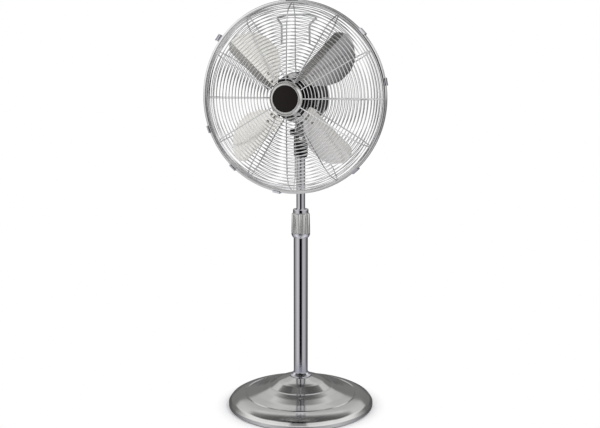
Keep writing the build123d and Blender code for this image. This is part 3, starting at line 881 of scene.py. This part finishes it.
@dataclass
class Neck:
    """Socket on top of the pole and the tilt knob."""

    groove: float = 0.7
    lobes: int = 6
    lobe_depth: float = 1.3
    # The share of the knob's length from which it is lobed
    lobe_start: float = 0.2

    def build(self) -> None:
        """Makes the socket and the knob."""
        self.make_socket()
        self.make_knob()

    def make_socket(self) -> None:
        """Turns the moulded socket with a rounded shoulder and two shallow grooves."""
        radius, low, high = extent("pole_socket")
        outline = [(box("inner_tube")[1].x, low.z, 0), (radius - 2.5, low.z, 1), (radius, low.z + 6, 3)]
        for height in (low.z + 14, low.z + 20):
            outline += [
                (radius, height - 1.2, 0.3),
                (radius - self.groove, height - 0.7, 0.3),
                (radius - self.groove, height + 0.7, 0.3),
                (radius, height + 1.2, 0.3),
            ]
        bm = turned(outline + [(radius, high.z, 2), (0, high.z, 0)], arc=4)
        finished(bm, "pole_socket_moulded", GLOSS_PLASTIC, Body.MAST, "pole_socket")

    def make_knob(self) -> None:
        """Draws out the lobed tilt knob, with a skirt and a domed end."""
        low, high = box("tilt_knob")
        centre, radius, length = middle("tilt_knob"), (high.z - low.z) / 2, high.x - low.x
        start = Vector((high.x, centre.y, centre.z))
        stand = Matrix.Translation(start) @ (-RIGHT).to_track_quat("Z", "Y").to_matrix().to_4x4()
        bm = bmesh.new()
        bmesh.ops.create_circle(bm, cap_ends=True, radius=radius * 0.62, segments=96, matrix=stand)
        edges = bm.edges[:]
        for share, reach in ((0.16, 0.66), (0.2, 0.96), (0.28, 1.0), (0.86, 1.0), (0.94, 0.94), (1.0, 0.7)):
            verts, edges = pulled(bm, edges)
            for vert in verts:
                spoke = Vector((0, vert.co.y - centre.y, vert.co.z - centre.z)).normalized()
                wave = math.cos(math.atan2(spoke.z, spoke.y) * self.lobes)
                hollow = self.lobe_depth * (0.5 - 0.5 * wave) if share >= self.lobe_start else 0.0
                vert.co = start - RIGHT * length * share + spoke * (radius * reach - hollow)
        bmesh.ops.holes_fill(bm, edges=edges, sides=0)
        finished(bm, "tilt_knob_lobed", GLOSS_PLASTIC, Body.TILT_KNOB, "tilt_knob")


# ---------------------------------------------------------------- motor


@dataclass
class Motor:
    """Motor housing with cooling slots, screws, the oscillation knob and the speed dial."""

    # Flats round the housing, and how many of them there are from one slot to the next
    steps: int = 120
    slot_pitch: int = 4
    slot_depth: float = 1.2
    nose_radius: float = 20.0
    nose_bore: float = 8.0
    screws: int = 4
    screw_circle: float = 30.0
    cross_width: float = 0.7
    cross_length: float = 3.8
    cross_depth: float = 0.9
    digits: str = "0123"
    digit_size: float = 7.0
    digit_angle: float = 40.0
    centre: Vector = field(default_factory=axis_point)

    def build(self) -> None:
        """Makes both covers, the knobs, the dial's numbers and the screws."""
        self.make_front_cover()
        self.make_rear_cover()
        self.make_oscillation_knob()
        self.make_speed_knob()
        self.make_numbers()
        self.make_screws()

    def make_front_cover(self) -> None:
        """Turns the front shell with its nose."""
        radius, low, high = extent("motor_front_cover")
        face = box("guard_nut")[1].y + 2
        outline = [
            (radius, high.y, 0),
            (radius, face + 9, 7),
            (radius - 9, face, 4),
            (self.nose_radius, face, 0.5),
            (self.nose_radius, low.y, 1.2),
            (self.nose_bore, low.y, 0.5),
            (self.nose_bore, low.y + 12, 0),
        ]
        bm = turned(outline, self.centre, BACK, self.steps)
        finished(bm, "motor_cover_front", ENAMEL, Body.HEAD, "motor_front_cover")

    def make_rear_cover(self) -> None:
        """Turns the rear shell with a seam groove and presses cooling slots into its cone."""
        radius, low, high = extent("motor_rear_cover")
        front, back = low.y, high.y
        outline = [
            (radius - 1, front, 0),
            (radius - 1, front + 1, 0.2),
            (radius, front + 1.6, 0.4),
            (radius, front + 20, 10),
            (radius - 3.6, front + 29, 1),
            (radius - 8.4, front + 44, 1),
            (radius - 13, front + 56, 14),
            (radius - 26, back, 7),
            (24, back, 0.6),
            (24, back - 0.8, 0.3),
            (3.3, back - 0.8, 0),
        ]
        bm = turned(outline, self.centre, BACK, self.steps, 6)
        chosen = []
        for face in bm.faces:
            spoke = face.calc_center_median() - self.centre
            column = round(math.atan2(spoke.z, spoke.x) / FULL_TURN * self.steps - 0.5)
            if front + 30 < spoke.y < front + 43 and column % self.slot_pitch in (1, 2):
                chosen.append(face)
        bmesh.ops.inset_region(bm, faces=chosen, thickness=0.5, use_even_offset=True)
        for vert in doubled(bm, chosen):
            spoke = vert.co - self.centre
            spoke.y = 0
            vert.co -= spoke.normalized() * self.slot_depth
        finished(bm, "motor_cover_rear", ENAMEL, Body.HEAD, "motor_rear_cover")

    def make_oscillation_knob(self) -> None:
        """Turns the push-pull knob with a waisted grip."""
        node = "oscillation_knob"
        radius, low, high = extent(node)
        centre, top = middle(node), high.z
        outline = [
            (0, low.z, 0),
            (3, low.z, 0.3),
            (3, top - 14, 0),
            (radius * 0.72, top - 14, 0.8),
            (radius * 0.8, top - 8, 4),
            (radius, top - 4.4, 1.5),
            (radius, top - 1.4, 1),
            (radius * 0.75, top, 3),
            (0, top, 0),
        ]
        bm = turned(outline, Vector((centre.x, centre.y, 0)), steps=64)
        finished(bm, "oscillation_knob_turned", BLACK_PLASTIC, Body.OSCILLATION_KNOB, node)

    def make_speed_knob(self) -> None:
        """Makes the dial with its raised finger bar and a white pointer."""
        radius, low, high = extent("speed_knob")
        centre, face = axis_point("speed_knob"), high.y - 10
        outline = [
            (3, low.y, 0),
            (3, face - 5.6, 0),
            (radius, face - 5.6, 0.4),
            (radius, face - 1.4, 0.8),
            (radius - 2, face, 1.5),
            (0, face, 0),
        ]
        bm = turned(outline, centre, BACK)
        eased_block(bm, centre + BACK * (face + 4.5), (8, 11, 34), 2.2, 4)
        finished(bm, "speed_dial", BLACK_PLASTIC, Body.SPEED_KNOB, "speed_knob")
        bm = bmesh.new()
        eased_block(bm, centre + BACK * (high.y + 0.1) + UP * 10, (1.4, 0.5, 9), 0.15, 2)
        finished(bm, "dial_pointer", DIAL_INK, Body.SPEED_KNOB)

    def make_numbers(self) -> None:
        """Prints the speed numbers round the dial, on the back of the housing."""
        centre, radius = middle("speed_knob"), extent("speed_knob")[0] + 4.6
        centre.y = box("motor_rear_cover")[1].y
        upright = Matrix.Rotation(math.pi, 4, "Z") @ Matrix.Rotation(math.pi / 2, 4, "X")
        for k, digit in enumerate(self.digits):
            text = bpy.data.curves.new(f"number_{digit}", "FONT")
            text.body, text.size, text.extrude = digit, self.digit_size, 0.15
            text.align_x, text.align_y = "CENTER", "CENTER"
            carrier = bpy.data.objects.new(f"number_{digit}", text)
            bpy.context.scene.collection.objects.link(carrier)
            mesh = bpy.data.meshes.new_from_object(carrier)
            bpy.data.objects.remove(carrier)
            bm = bmesh.new()
            bm.from_mesh(mesh)
            bpy.data.meshes.remove(mesh)
            turn = math.radians(self.digit_angle) * k
            place = centre - RIGHT * math.sin(turn) * radius + UP * math.cos(turn) * radius
            bmesh.ops.transform(bm, matrix=Matrix.Translation(place) @ upright, verts=bm.verts[:])
            finished(bm, f"speed_number_{digit}", DIAL_INK, Body.HEAD)

    def make_screws(self) -> None:
        """Turns the domed screws that hold the rear shell, and cuts a cross in each head."""
        back = box("motor_rear_cover")[1].y
        stand = self.centre + (RIGHT + UP).normalized() * self.screw_circle
        head = [(0, back + 1.7, 0), (1.8, back + 1.6, 1), (3, back + 0.4, 0.6), (3, back - 0.6, 0)]
        bm = turned(head, stand, BACK, 24, 4)
        for direction in (RIGHT, UP):
            for offset in (-self.cross_width / 2, self.cross_width / 2):
                scored(bm, stand + direction * offset, direction)
        cross = [face for face in bm.faces if self.in_cross(face.calc_center_median() - stand)]
        bmesh.ops.translate(bm, verts=doubled(bm, cross), vec=BACK * -self.cross_depth)
        copies_about(bm, self.centre, self.screws)
        finished(bm, "housing_screws", ZINC, Body.HEAD)

    def in_cross(self, spot: Vector) -> bool:
        """Whether a spot, seen from the middle of a screw's head, lies in its cross."""
        across, along = sorted((abs(spot.x), abs(spot.z)))
        return across < self.cross_width / 2 and along < self.cross_length / 2


# ---------------------------------------------------------------- guards


@dataclass
class WireGuards:
    """Front and rear guards: bent spokes, rings welded on them and a rim hoop each."""

    spoke_wire: float = 2.8
    ring_wire: float = 2.0
    spokes: int = 12
    pitch: float = 8.2
    hoop: float = 8.0
    hoop_corner: float = 2.6
    # How far in from the hoop's outside the spokes end, as a share of the hoop
    spoke_end: float = 0.8
    # How far a ring stands off the middle of the spokes, as a share of its wire
    ring_lift: float = 0.9
    # The radius of each guard's innermost ring, and how many rings it has
    front_rings: tuple[float, int] = (47.5, 24)
    rear_rings: tuple[float, int] = (67.0, 20)
    ring_steps: int = 96
    centre: Vector = field(default_factory=axis_point)

    def build(self) -> None:
        """Makes both guards and the pressed plate of the rear one."""
        self.make_front()
        self.make_rear()

    def make_front(self) -> None:
        """Makes the domed front guard."""
        seat = box("badge_plate")[0].y - self.spoke_wire / 2
        route = [(28, seat), (52, seat), (180, seat + 5), (205, seat + 13)]
        bm = self.wires(route, (60, 34, 30), -1, *self.front_rings)
        finished(bm, "front_guard_wires", WIRE_CHROME, Body.HEAD, "front_guard")

    def make_rear(self) -> None:
        """Makes the rear guard with its pressed centre plate."""
        front = box("guard_nut")[1].y
        route = [(52, front - 1), (66, front - 1), (84, front - 5.5), (194, front - 7.5)]
        bm = self.wires(route, (14, 14, 18), 1, *self.rear_rings)
        plate = [
            (20.2, front, 0),
            (44, front, 2),
            (47, front - 1.6, 2),
            (58.5, front - 1.6, 1),
            (60, front - 0.4, 0.5),
            (60, front + 0.8, 0.5),
            (58, front + 0.8, 0.5),
            (57, front - 0.2, 1),
            (47.6, front - 0.2, 1),
            (44.6, front + 1.4, 1),
            (20.2, front + 1.4, 0),
        ]
        merge_into(bm, turned(plate, self.centre, BACK, arc=3, closed=True))
        finished(bm, "rear_guard_wires", WIRE_CHROME, Body.HEAD, "rear_guard")

    def wires(self, route: list[Point], bends: Sequence[float], side: int, first: float, count: int) -> Mesh:
        """Makes the wires of one guard.

        Args:
            route: (radius, y) corners of a spoke from its inner end, without its end at the hoop.
            bends: the radius of the spoke's bend at each corner between its ends.
            side: 1 for a guard behind the front guard's rim, with its rings behind its spokes, or -1.
            first: the radius of the innermost ring.
            count: how many rings there are.

        Returns:
            The guard's mesh.
        """
        outer, _, high = extent("front_guard")
        rim = high.y + side * self.hoop / 2
        route = [*route, (outer - self.hoop * self.spoke_end, rim)]
        bm = bmesh.new()
        self.add_spokes(bm, route, bends)
        corners = [Vector(corner) for corner in route]
        for k in range(count):
            left = first - route[0][0] + self.pitch * k
            for start, end in zip(corners, corners[1:]):
                if left <= (end - start).length:
                    break
                left -= (end - start).length
            place = start + (end - start).normalized() * left
            self.add_ring(bm, place.x, place.y + side * self.ring_wire * self.ring_lift)
        self.add_hoop(bm, outer, rim)
        return bm

    def add_spokes(self, bm: Mesh, route: Sequence[Point], bends: Sequence[float]) -> None:
        """Adds the spokes along a route.

        Args:
            bm: the guard's mesh.
            route: (radius, y) corners from the inner end to the rim.
            bends: the radius of each bend.
        """
        points = [self.centre + UP * radius + BACK * y for radius, y in route]
        wire = Wire(bm, points[0], points[1] - points[0], self.spoke_wire)
        wire.along(points[1:], bends, 6).capped()
        copies_about(bm, self.centre, self.spokes)

    def add_ring(self, bm: Mesh, radius: float, y: float) -> None:
        """Adds a ring of round wire.

        Args:
            bm: the guard's mesh.
            radius: the ring's radius at the middle of the wire.
            y: the middle of the wire.
        """
        ring = bmesh.new()
        centre = self.centre + BACK * y
        stand = Matrix.Translation(centre + RIGHT * radius)
        bmesh.ops.create_circle(ring, cap_ends=False, radius=self.ring_wire / 2, segments=6, matrix=stand)
        geom = ring.verts[:] + ring.edges[:]
        around = {"axis": BACK, "angle": FULL_TURN, "steps": self.ring_steps, "use_merge": True}
        bmesh.ops.spin(ring, geom=geom, cent=centre, **around)
        merge_into(bm, ring)

    def add_hoop(self, bm: Mesh, outer: float, y: float) -> None:
        """Adds a rim hoop: a square section with well-rounded corners.

        Args:
            bm: the guard's mesh.
            outer: the hoop's outer radius.
            y: the middle of the hoop.
        """
        half, corner = self.hoop / 2, self.hoop_corner
        section = [
            (outer - half, y - half, 0),
            (outer, y - half, corner),
            (outer, y + half, corner),
            (outer - self.hoop, y + half, corner),
            (outer - self.hoop, y - half, corner),
            (outer - half, y - half, 0),
        ]
        merge_into(bm, turned(section, self.centre, BACK, 240, 4))


@dataclass
class Badge:
    """Stepped ring and bare disc in the middle of the front guard."""

    steps: int = 128

    def build(self) -> None:
        """Makes the ring and the disc."""
        radius, low, high = extent("badge_ring")
        inner, disc_low, disc_high = extent("badge_disc")
        centre, front, back = axis_point("badge_ring"), low.y, high.y
        outline = [
            (inner, back, 0),
            (radius, back, 0.4),
            (radius, back - 1.4, 0.5),
            (radius - 1.2, back - 1.4, 0.2),
            (radius - 1.4, back - 0.6, 0.2),
            (inner + 4.6, front + 0.2, 0.8),
            (inner + 0.8, front, 0.6),
            (inner, front + 2.4, 0),
        ]
        bm = turned(outline, centre, BACK, self.steps, closed=True)
        finished(bm, "badge_ring_turned", SATIN_PLATE, Body.HEAD, "badge_ring")
        dome = [
            (inner - 0.05, disc_high.y, 0),
            (inner - 0.05, disc_low.y + 0.8, 0.5),
            (inner - 2, disc_low.y, 4),
            (0, disc_low.y - 0.3, 0),
        ]
        bm = turned(dome, centre, BACK, self.steps)
        finished(bm, "badge_disc_domed", BADGE_BLACK, Body.HEAD, "badge_disc")


@dataclass
class CarryHandle:
    """Bent wire handle at the top of the rear guard."""

    wire: float = 5.0
    leg: float = 35.0
    corner: float = 51.0
    bar: float = 26.0
    knee_height: float = 173.0
    corner_height: float = 190.0

    def build(self) -> None:
        """Bends the handle from one wire, from foot to foot."""
        low, high = box("carry_handle")
        centre = middle("shaft").z
        front, back = low.y + self.wire / 2, high.y - self.wire / 2
        right = [
            Vector((self.leg, front + 0.7, low.z)),
            Vector((self.leg, front, centre + self.knee_height)),
            Vector((self.corner, back - 3, centre + self.corner_height)),
            Vector((self.bar, back, high.z - self.wire / 2)),
        ]
        points = right + [Vector((-p.x, p.y, p.z)) for p in reversed(right)]
        bends = (6, 3.2, 60)
        bm = bmesh.new()
        wire = Wire(bm, points[0], points[1] - points[0], self.wire, 16)
        wire.along(points[1:], bends + bends[::-1], 8).capped()
        finished(bm, "carry_handle_bent", WIRE_CHROME, Body.HEAD, "carry_handle")


@dataclass
class SpringClips:
    """Spring clips that hold the two guards together."""

    angles: tuple[float, ...] = (10, 42, 90, 143, 200, 228, 260, 313)
    width: float = 18.0
    # The clip of black plastic and its width
    dark: int = 3
    dark_width: float = 30.0
    # The clip that hangs open, and by how many degrees
    opened: int = 4
    opening: float = 55.0
    sheet: float = 1.2

    def build(self) -> None:
        """Bends every clip."""
        for number, angle in enumerate(self.angles, start=1):
            self.make_clip(number, angle)

    def make_clip(self, number: int, angle: float) -> None:
        """Bends one clip from strip, at the top of the rim, and turns it to its place.

        Args:
            number: the clip's number, from one.
            angle: its place in degrees, anticlockwise from the right.
        """
        outer, _, high = extent("front_guard")
        centre, radius, hinge = axis_point(), outer - 4, high.y + 4
        dark, node = number == self.dark, f"guard_clip_{number}"
        width = self.dark_width if dark else self.width
        corners = [
            (hinge + 7.1, radius + 0.8, 0),
            (hinge + 7.1, radius + 3, 1.5),
            (hinge + 3, radius + 7.1, 2.5),
            (hinge - 13.6, radius + 7.1, 1.6),
            (hinge - 14.2, radius + 2.6, 1),
            (hinge - 16.4, radius + 3.2, 0),
        ]
        bm = bmesh.new()
        verts = [bm.verts.new((-width / 2, y, centre.z + r)) for y, r in rounded(corners, 4)]
        edges = [bm.edges.new(pair) for pair in zip(verts, verts[1:])]
        bmesh.ops.translate(bm, verts=pulled(bm, edges)[0], vec=RIGHT * width)
        bmesh.ops.recalc_face_normals(bm, faces=bm.faces[:])
        bmesh.ops.solidify(bm, geom=bm.faces[:], thickness=self.sheet)
        if number == self.opened:
            pin = Vector((0, hinge, centre.z + radius))
            swung(bm, bm.verts[:], pin, math.radians(-self.opening), RIGHT)
        swung(bm, bm.verts[:], centre, math.radians(90 - angle), BACK)
        finish, slot = (BLACK_PLASTIC, "black_plastic") if dark else (CHROME, "clip_steel")
        finished(bm, f"spring_clip_{number}", finish, node, node)


# ---------------------------------------------------------------- rotor


@dataclass
class Rotor:
    """Pressed blades with their rivets."""

    # The cell is the distance between the cuts that let the flat sheet be pressed
    blades: int = 4
    first_angle: float = 46.0
    sheet: float = 1.5
    cell: float = 4.0
    # The height of the fold between the riveted strip and the hollow, and how far before the plane it lies
    fold: float = 8.0
    fold_y: float = -9.0
    strip_slope: float = -4 / 19
    chord: float = 76.0
    depth: float = 26.0
    # The blades' plane, behind the front of the spider
    plane: float = 16.0
    centre: Vector = field(default_factory=axis_point)

    def build(self) -> None:
        """Makes the blades and the rivets."""
        for number in range(self.blades):
            self.make_blade(number)
        self.make_rivets()

    def hollow(self, z: float) -> float:
        """How far back the sheet lies at a height across the blade.

        Args:
            z: height above the blade's middle line.

        Returns:
            The place along the fan's direction, from the blades' plane.
        """
        if z > self.fold:
            return self.fold_y + self.strip_slope * (z - self.fold)
        share = min((self.fold - z) / self.chord, 1.0)
        return self.fold_y + self.depth * (1 - (1 - share) ** 1.25)

    def make_blade(self, number: int) -> None:
        """Cuts the outline from sheet, presses it and turns it to its place.

        Args:
            number: how many blades come before it.
        """
        corners = [
            (50, -6, 0),
            (50, 24, 3),
            (188, 25.5, 10),
            (203, 8, 18),
            (199, -18, 30),
            (176, -46, 34),
            (146, -58, 40),
            (110, -57, 40),
            (78, -40, 60),
            (50, -6, 0),
        ]
        bm = bmesh.new()
        bm.faces.new([bm.verts.new((x, 0, z)) for x, z in rounded(corners, 6)[:-1]])
        for direction, start, end in ((RIGHT, 50, 203), (UP, -60, 28)):
            for k in range(1, int((end - start) / self.cell)):
                scored(bm, direction * (start + k * self.cell), direction)
        for vert in bm.verts:
            vert.co.y = self.hollow(vert.co.z)
        bmesh.ops.recalc_face_normals(bm, faces=bm.faces[:])
        bmesh.ops.solidify(bm, geom=bm.faces[:], thickness=self.sheet)
        place = self.centre + BACK * (box("blade_spider")[0].y + self.plane)
        bmesh.ops.translate(bm, verts=bm.verts[:], vec=place)
        turn = -self.first_angle - 360 / self.blades * number
        swung(bm, bm.verts[:], self.centre, math.radians(turn), BACK)
        name, node = f"blade_pressed_{number + 1}", f"blade_{number + 1}"
        finished(bm, name, BLADE_SHEET, Body.ROTOR, node, 10)

    def make_rivets(self) -> None:
        """Sets the domed rivets that hold the blades to the spider."""
        bm = bmesh.new()
        for x, z in ((60, 3), (61, -8), (80, -3)):
            front = box("blade_spider")[0].y + self.plane + self.hollow(z) - self.sheet
            head = [(0, front - 1.6, 0), (2.2, front - 1.3, 1), (3.4, front + 0.4, 0), (0, front + 0.4, 0)]
            merge_into(bm, turned(head, self.centre + RIGHT * x + UP * z, BACK, 16, 3))
        swung(bm, bm.verts[:], self.centre, math.radians(-self.first_angle), BACK)
        copies_about(bm, self.centre, self.blades)
        finished(bm, "blade_rivets", ZINC, Body.ROTOR)


# ---------------------------------------------------------------- studio


def seen_rays(tree: Tree) -> Socket:
    """Tells the rays by which a thing is seen or mirrored from those by which it lights others.

    Args:
        tree: the node tree that gets the nodes.

    Returns:
        The socket that is one for the first and nought for the others.
    """
    rays = add_node(tree, "ShaderNodeLightPath").outputs
    seen = rays["Is Camera Ray"]
    for kind in ("Is Glossy Ray", "Is Transmission Ray"):
        inputs = {0: seen, 1: rays[kind]}
        seen = add_node(tree, "ShaderNodeMath", inputs, operation="MAXIMUM").outputs["Value"]
    return seen


@dataclass
class Studio:
    """Pale floor, soft light and the camera."""

    azimuth: float = 18.28
    distance: float = 2.3
    camera_height: float = 0.8694
    aim_height: float = 0.4968
    aim_aside: float = 0.0019
    lens: float = 55.87
    floor_radius: float = 0.9
    floor_colour: str = "#F6F6F8"
    # The radii between which the floor fades to white, round the base
    fade_start: float = 0.186
    fade_end: float = 0.225
    even_light: float = 0.8
    tent_radius: float = 6.0
    tent_centre: float = 0.6
    # Bands of the tent from the bottom up: the heights in degrees over which each takes over from the one
    # below, and its colours by the angle in degrees to the right of the camera
    TENT_BANDS: ClassVar[tuple[tuple[float, float, tuple[tuple[float, str], ...]], ...]] = (
        (-90, -90, (
            (-180, "#5C5C5E"), (-110, "#A0A0A4"), (-60, "#F4F4F8"), (-25, "#B4B4B6"), (10, "#A6A6A8"),
            (60, "#F0F0F4"), (110, "#A0A0A4"), (180, "#5C5C5E"),
        )),
        (-29, -27, (
            (-180, "#6A6A6C"), (-130, "#606062"), (-90, "#A8A8B0"), (90, "#A4A4AC"), (130, "#545456"),
            (180, "#6A6A6C"),
        )),
        (-23.5, -22.5, (
            (-180, "#6A6A6A"), (-121, "#545454"), (-94, "#A4A4A4"), (-74, "#BCBCBC"), (-56, "#D6D6D6"),
            (-36, "#C8C8C8"), (-24, "#B0B0B0"), (-17, "#08080A"), (16, "#08080A"), (23, "#AAAAAA"),
            (38, "#BEBEBE"), (56, "#C2C2C2"), (74, "#B4B4B4"), (94, "#848484"), (121, "#505050"),
            (180, "#6A6A6A"),
        )),
        (-3, 3, (
            (-180, "#868686"), (-124, "#7C7C7C"), (-88, "#F0F0F0"), (-40, "#FFFFFF"), (-33, "#0A0A0A"),
            (10, "#0A0A0A"), (14, "#F4F4F4"), (88, "#E6E6E6"), (124, "#747474"), (180, "#868686"),
        )),
        (19, 23, (
            (-180, "#B4B4B4"), (-130, "#DCDCDC"), (-90, "#FFFFFF"), (90, "#FFFFFF"), (130, "#DCDCDC"),
            (180, "#B4B4B4"),
        )),
        (38, 46, (
            (-180, "#FFFFFF"), (-150, "#F6F6F6"), (-130, "#6A6A6A"), (-76, "#606060"), (-64, "#FFFFFF"),
            (-24, "#FFFFFF"), (-18, "#0A0A0A"), (9, "#0A0A0A"), (14, "#FFFFFF"), (64, "#FFFFFF"),
            (76, "#606060"), (130, "#6A6A6A"), (150, "#F6F6F6"), (180, "#FFFFFF"),
        )),
        (41, 66, (
            (-180, "#606060"), (-90, "#505050"), (-30, "#141414"), (30, "#141414"), (90, "#505050"),
            (180, "#606060"),
        )),
    )

    def build(self) -> None:
        """Sets up the whole studio."""
        bpy.context.scene.view_settings.view_transform = "Standard"
        self.make_camera()
        self.make_world()
        self.make_tent()
        self.make_floor()
        self.make_lamps()

    def towards_camera(self) -> Vector:
        """The level direction from the fan to the camera."""
        turn = math.radians(self.azimuth)
        return Vector((math.sin(turn), -math.cos(turn), 0))

    def aimed(self, made: bpy.types.Object, place: Vector, aim: Vector) -> None:
        """Puts a camera or a lamp in the scene, and points it.

        Args:
            made: the camera or the lamp.
            place: where it stands.
            aim: what it looks at.
        """
        bpy.context.scene.collection.objects.link(made)
        made.location = place
        made.rotation_mode = "QUATERNION"
        made.rotation_quaternion = (aim - place).to_track_quat("-Z", "Y")

    def make_camera(self) -> None:
        """Places the camera and aims it at the pole."""
        towards = self.towards_camera()
        data = bpy.data.cameras.new("camera")
        data.lens, data.sensor_width = self.lens, 36.0
        camera = bpy.data.objects.new("camera", data)
        aim = towards.cross(UP) * self.aim_aside + UP * self.aim_height
        self.aimed(camera, towards * self.distance + UP * self.camera_height, aim)
        bpy.context.scene.camera = camera

    def make_world(self) -> None:
        """Even white light, and plain white wherever the surroundings are seen or mirrored."""
        world = bpy.data.worlds.new("studio")
        bpy.context.scene.world = world
        tree = empty_tree(world)
        even, white = (
            add_node(tree, "ShaderNodeBackground", {"Color": linear("#FFFFFF"), "Strength": strength})
            for strength in (self.even_light, 1.0)
        )
        inputs = {0: seen_rays(tree), 1: even.outputs["Background"], 2: white.outputs["Background"]}
        final = add_node(tree, "ShaderNodeMixShader", inputs)
        add_node(tree, "ShaderNodeOutputWorld", {"Surface": final.outputs["Shader"]})

    def make_tent(self) -> None:
        """The light tent that metal mirrors: pale, with dark slits in front and above, and dim behind."""
        bm = bmesh.new()
        bmesh.ops.create_uvsphere(bm, u_segments=48, v_segments=24, radius=self.tent_radius)
        tent = placed(bm, "light_tent")
        tent.location.z = self.tent_centre
        tent.visible_camera = tent.visible_diffuse = tent.visible_shadow = False
        tent.visible_transmission = tent.visible_volume_scatter = False
        material = bpy.data.materials.new("tent_fabric")
        tree = empty_tree(material)
        place = add_node(tree, "ShaderNodeTexCoord").outputs["Object"]
        spot = add_node(tree, "ShaderNodeVectorMath", {0: place}, operation="NORMALIZE").outputs["Vector"]
        towards = self.towards_camera()
        ahead, aside = (
            add_node(tree, "ShaderNodeVectorMath", {0: spot, 1: way}, operation="DOT_PRODUCT")
            for way in (towards, UP.cross(towards))
        )
        inputs = {0: aside.outputs["Value"], 1: ahead.outputs["Value"]}
        angle = add_node(tree, "ShaderNodeMath", inputs, operation="ARCTAN2").outputs["Value"]
        whole = {"Value": angle, "From Min": -math.pi, "From Max": math.pi}
        share = add_node(tree, "ShaderNodeMapRange", whole).outputs["Result"]
        height = add_node(tree, "ShaderNodeSeparateXYZ", {"Vector": spot}).outputs["Z"]
        shade = None
        for start, end, stops in self.TENT_BANDS:
            ramp = add_node(tree, "ShaderNodeValToRGB", {"Fac": share})
            elements = ramp.color_ramp.elements
            while len(elements) < len(stops):
                elements.new(0.5)
            for element, (degrees, colour) in zip(elements, stops):
                element.position = (degrees + 180) / 360
                element.color = linear(colour)
            if shade is None:
                shade = ramp.outputs["Color"]
                continue
            low, high = math.sin(math.radians(start)), math.sin(math.radians(end))
            inputs = {"Value": height, "From Min": low, "From Max": high}
            rise = add_node(tree, "ShaderNodeMapRange", inputs, interpolation_type="SMOOTHSTEP")
            inputs = {"Factor": rise.outputs["Result"], "A": shade, "B": ramp.outputs["Color"]}
            shade = add_node(tree, "ShaderNodeMix", inputs, data_type="RGBA").outputs["Result"]
        glow = add_node(tree, "ShaderNodeEmission", {"Color": shade, "Strength": 1.0})
        add_node(tree, "ShaderNodeOutputMaterial", {"Surface": glow.outputs["Emission"]})
        tent.data.materials.append(material)

    def make_floor(self) -> None:
        """A pale disc that keeps the fan's shadow and fades to plain white round the base."""
        bm = bmesh.new()
        bmesh.ops.create_circle(bm, cap_ends=True, radius=self.floor_radius, segments=96)
        floor = placed(bm, "floor")
        floor.location.z = -0.2 * MM
        material = bpy.data.materials.new("floor_paper")
        tree = empty_tree(material)
        place = add_node(tree, "ShaderNodeTexCoord").outputs["Object"]
        radius = add_node(tree, "ShaderNodeVectorMath", {0: place}, operation="LENGTH").outputs["Value"]
        inputs = {"Value": radius, "From Min": self.fade_start, "From Max": self.fade_end}
        fade = add_node(tree, "ShaderNodeMapRange", inputs, interpolation_type="SMOOTHSTEP").outputs["Result"]
        matt = {"Base Color": linear(self.floor_colour), "Roughness": 0.9}
        paper = add_node(tree, "ShaderNodeBsdfPrincipled", matt)
        white = add_node(tree, "ShaderNodeEmission", {"Color": linear("#FFFFFF"), "Strength": 1.0})
        shown = add_node(tree, "ShaderNodeMath", {0: seen_rays(tree), 1: fade}, operation="MULTIPLY")
        inputs = {0: shown.outputs["Value"], 1: paper.outputs["BSDF"], 2: white.outputs["Emission"]}
        mix = add_node(tree, "ShaderNodeMixShader", inputs)
        add_node(tree, "ShaderNodeOutputMaterial", {"Surface": mix.outputs["Shader"]})
        floor.data.materials.append(material)
        floor.visible_glossy = False

    def make_lamps(self) -> None:
        """Two large soft lamps, the stronger at the upper left."""
        towards = self.towards_camera()
        left = towards.cross(UP) * -1
        for name, place, size, power in (
            ("key_lamp", towards * 1.4 + left * 1.6 + UP * 2.2, 1.2, 22.0),
            ("fill_lamp", towards * 1.2 - left * 1.8 + UP * 1.4, 1.4, 8.0),
        ):
            data = bpy.data.lights.new(name, "AREA")
            data.energy, data.size = power, size
            lamp = bpy.data.objects.new(name, data)
            lamp.visible_glossy = False
            self.aimed(lamp, place, UP * 0.5)


def dress_nodes(nodes: dict[str, bpy.types.Object]) -> None:
    """Gives the frame's own nodes their finishes.

    Args:
        nodes: the frame's nodes by name.
    """
    for finish, names in NODE_FINISHES.items():
        for name in names:
            nodes[name].data.materials.clear()
            nodes[name].data.materials.append(finish.material())
            LOG.info("%s: %s", name, finish.name)


def main() -> None:
    """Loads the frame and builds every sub-assembly in order."""
    logging.basicConfig(level=logging.INFO, format="%(name)s: %(message)s")
    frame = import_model()
    dress_nodes(frame["nodes"])
    stand = (Base, Pole, LockCollar, Neck)
    head = (Motor, WireGuards, Badge, CarryHandle, SpringClips, Rotor)
    for assembly in (*stand, *head, Studio):
        LOG.info("building %s", assembly.__name__)
        assembly().build()


if __name__ == "__main__":
    main()
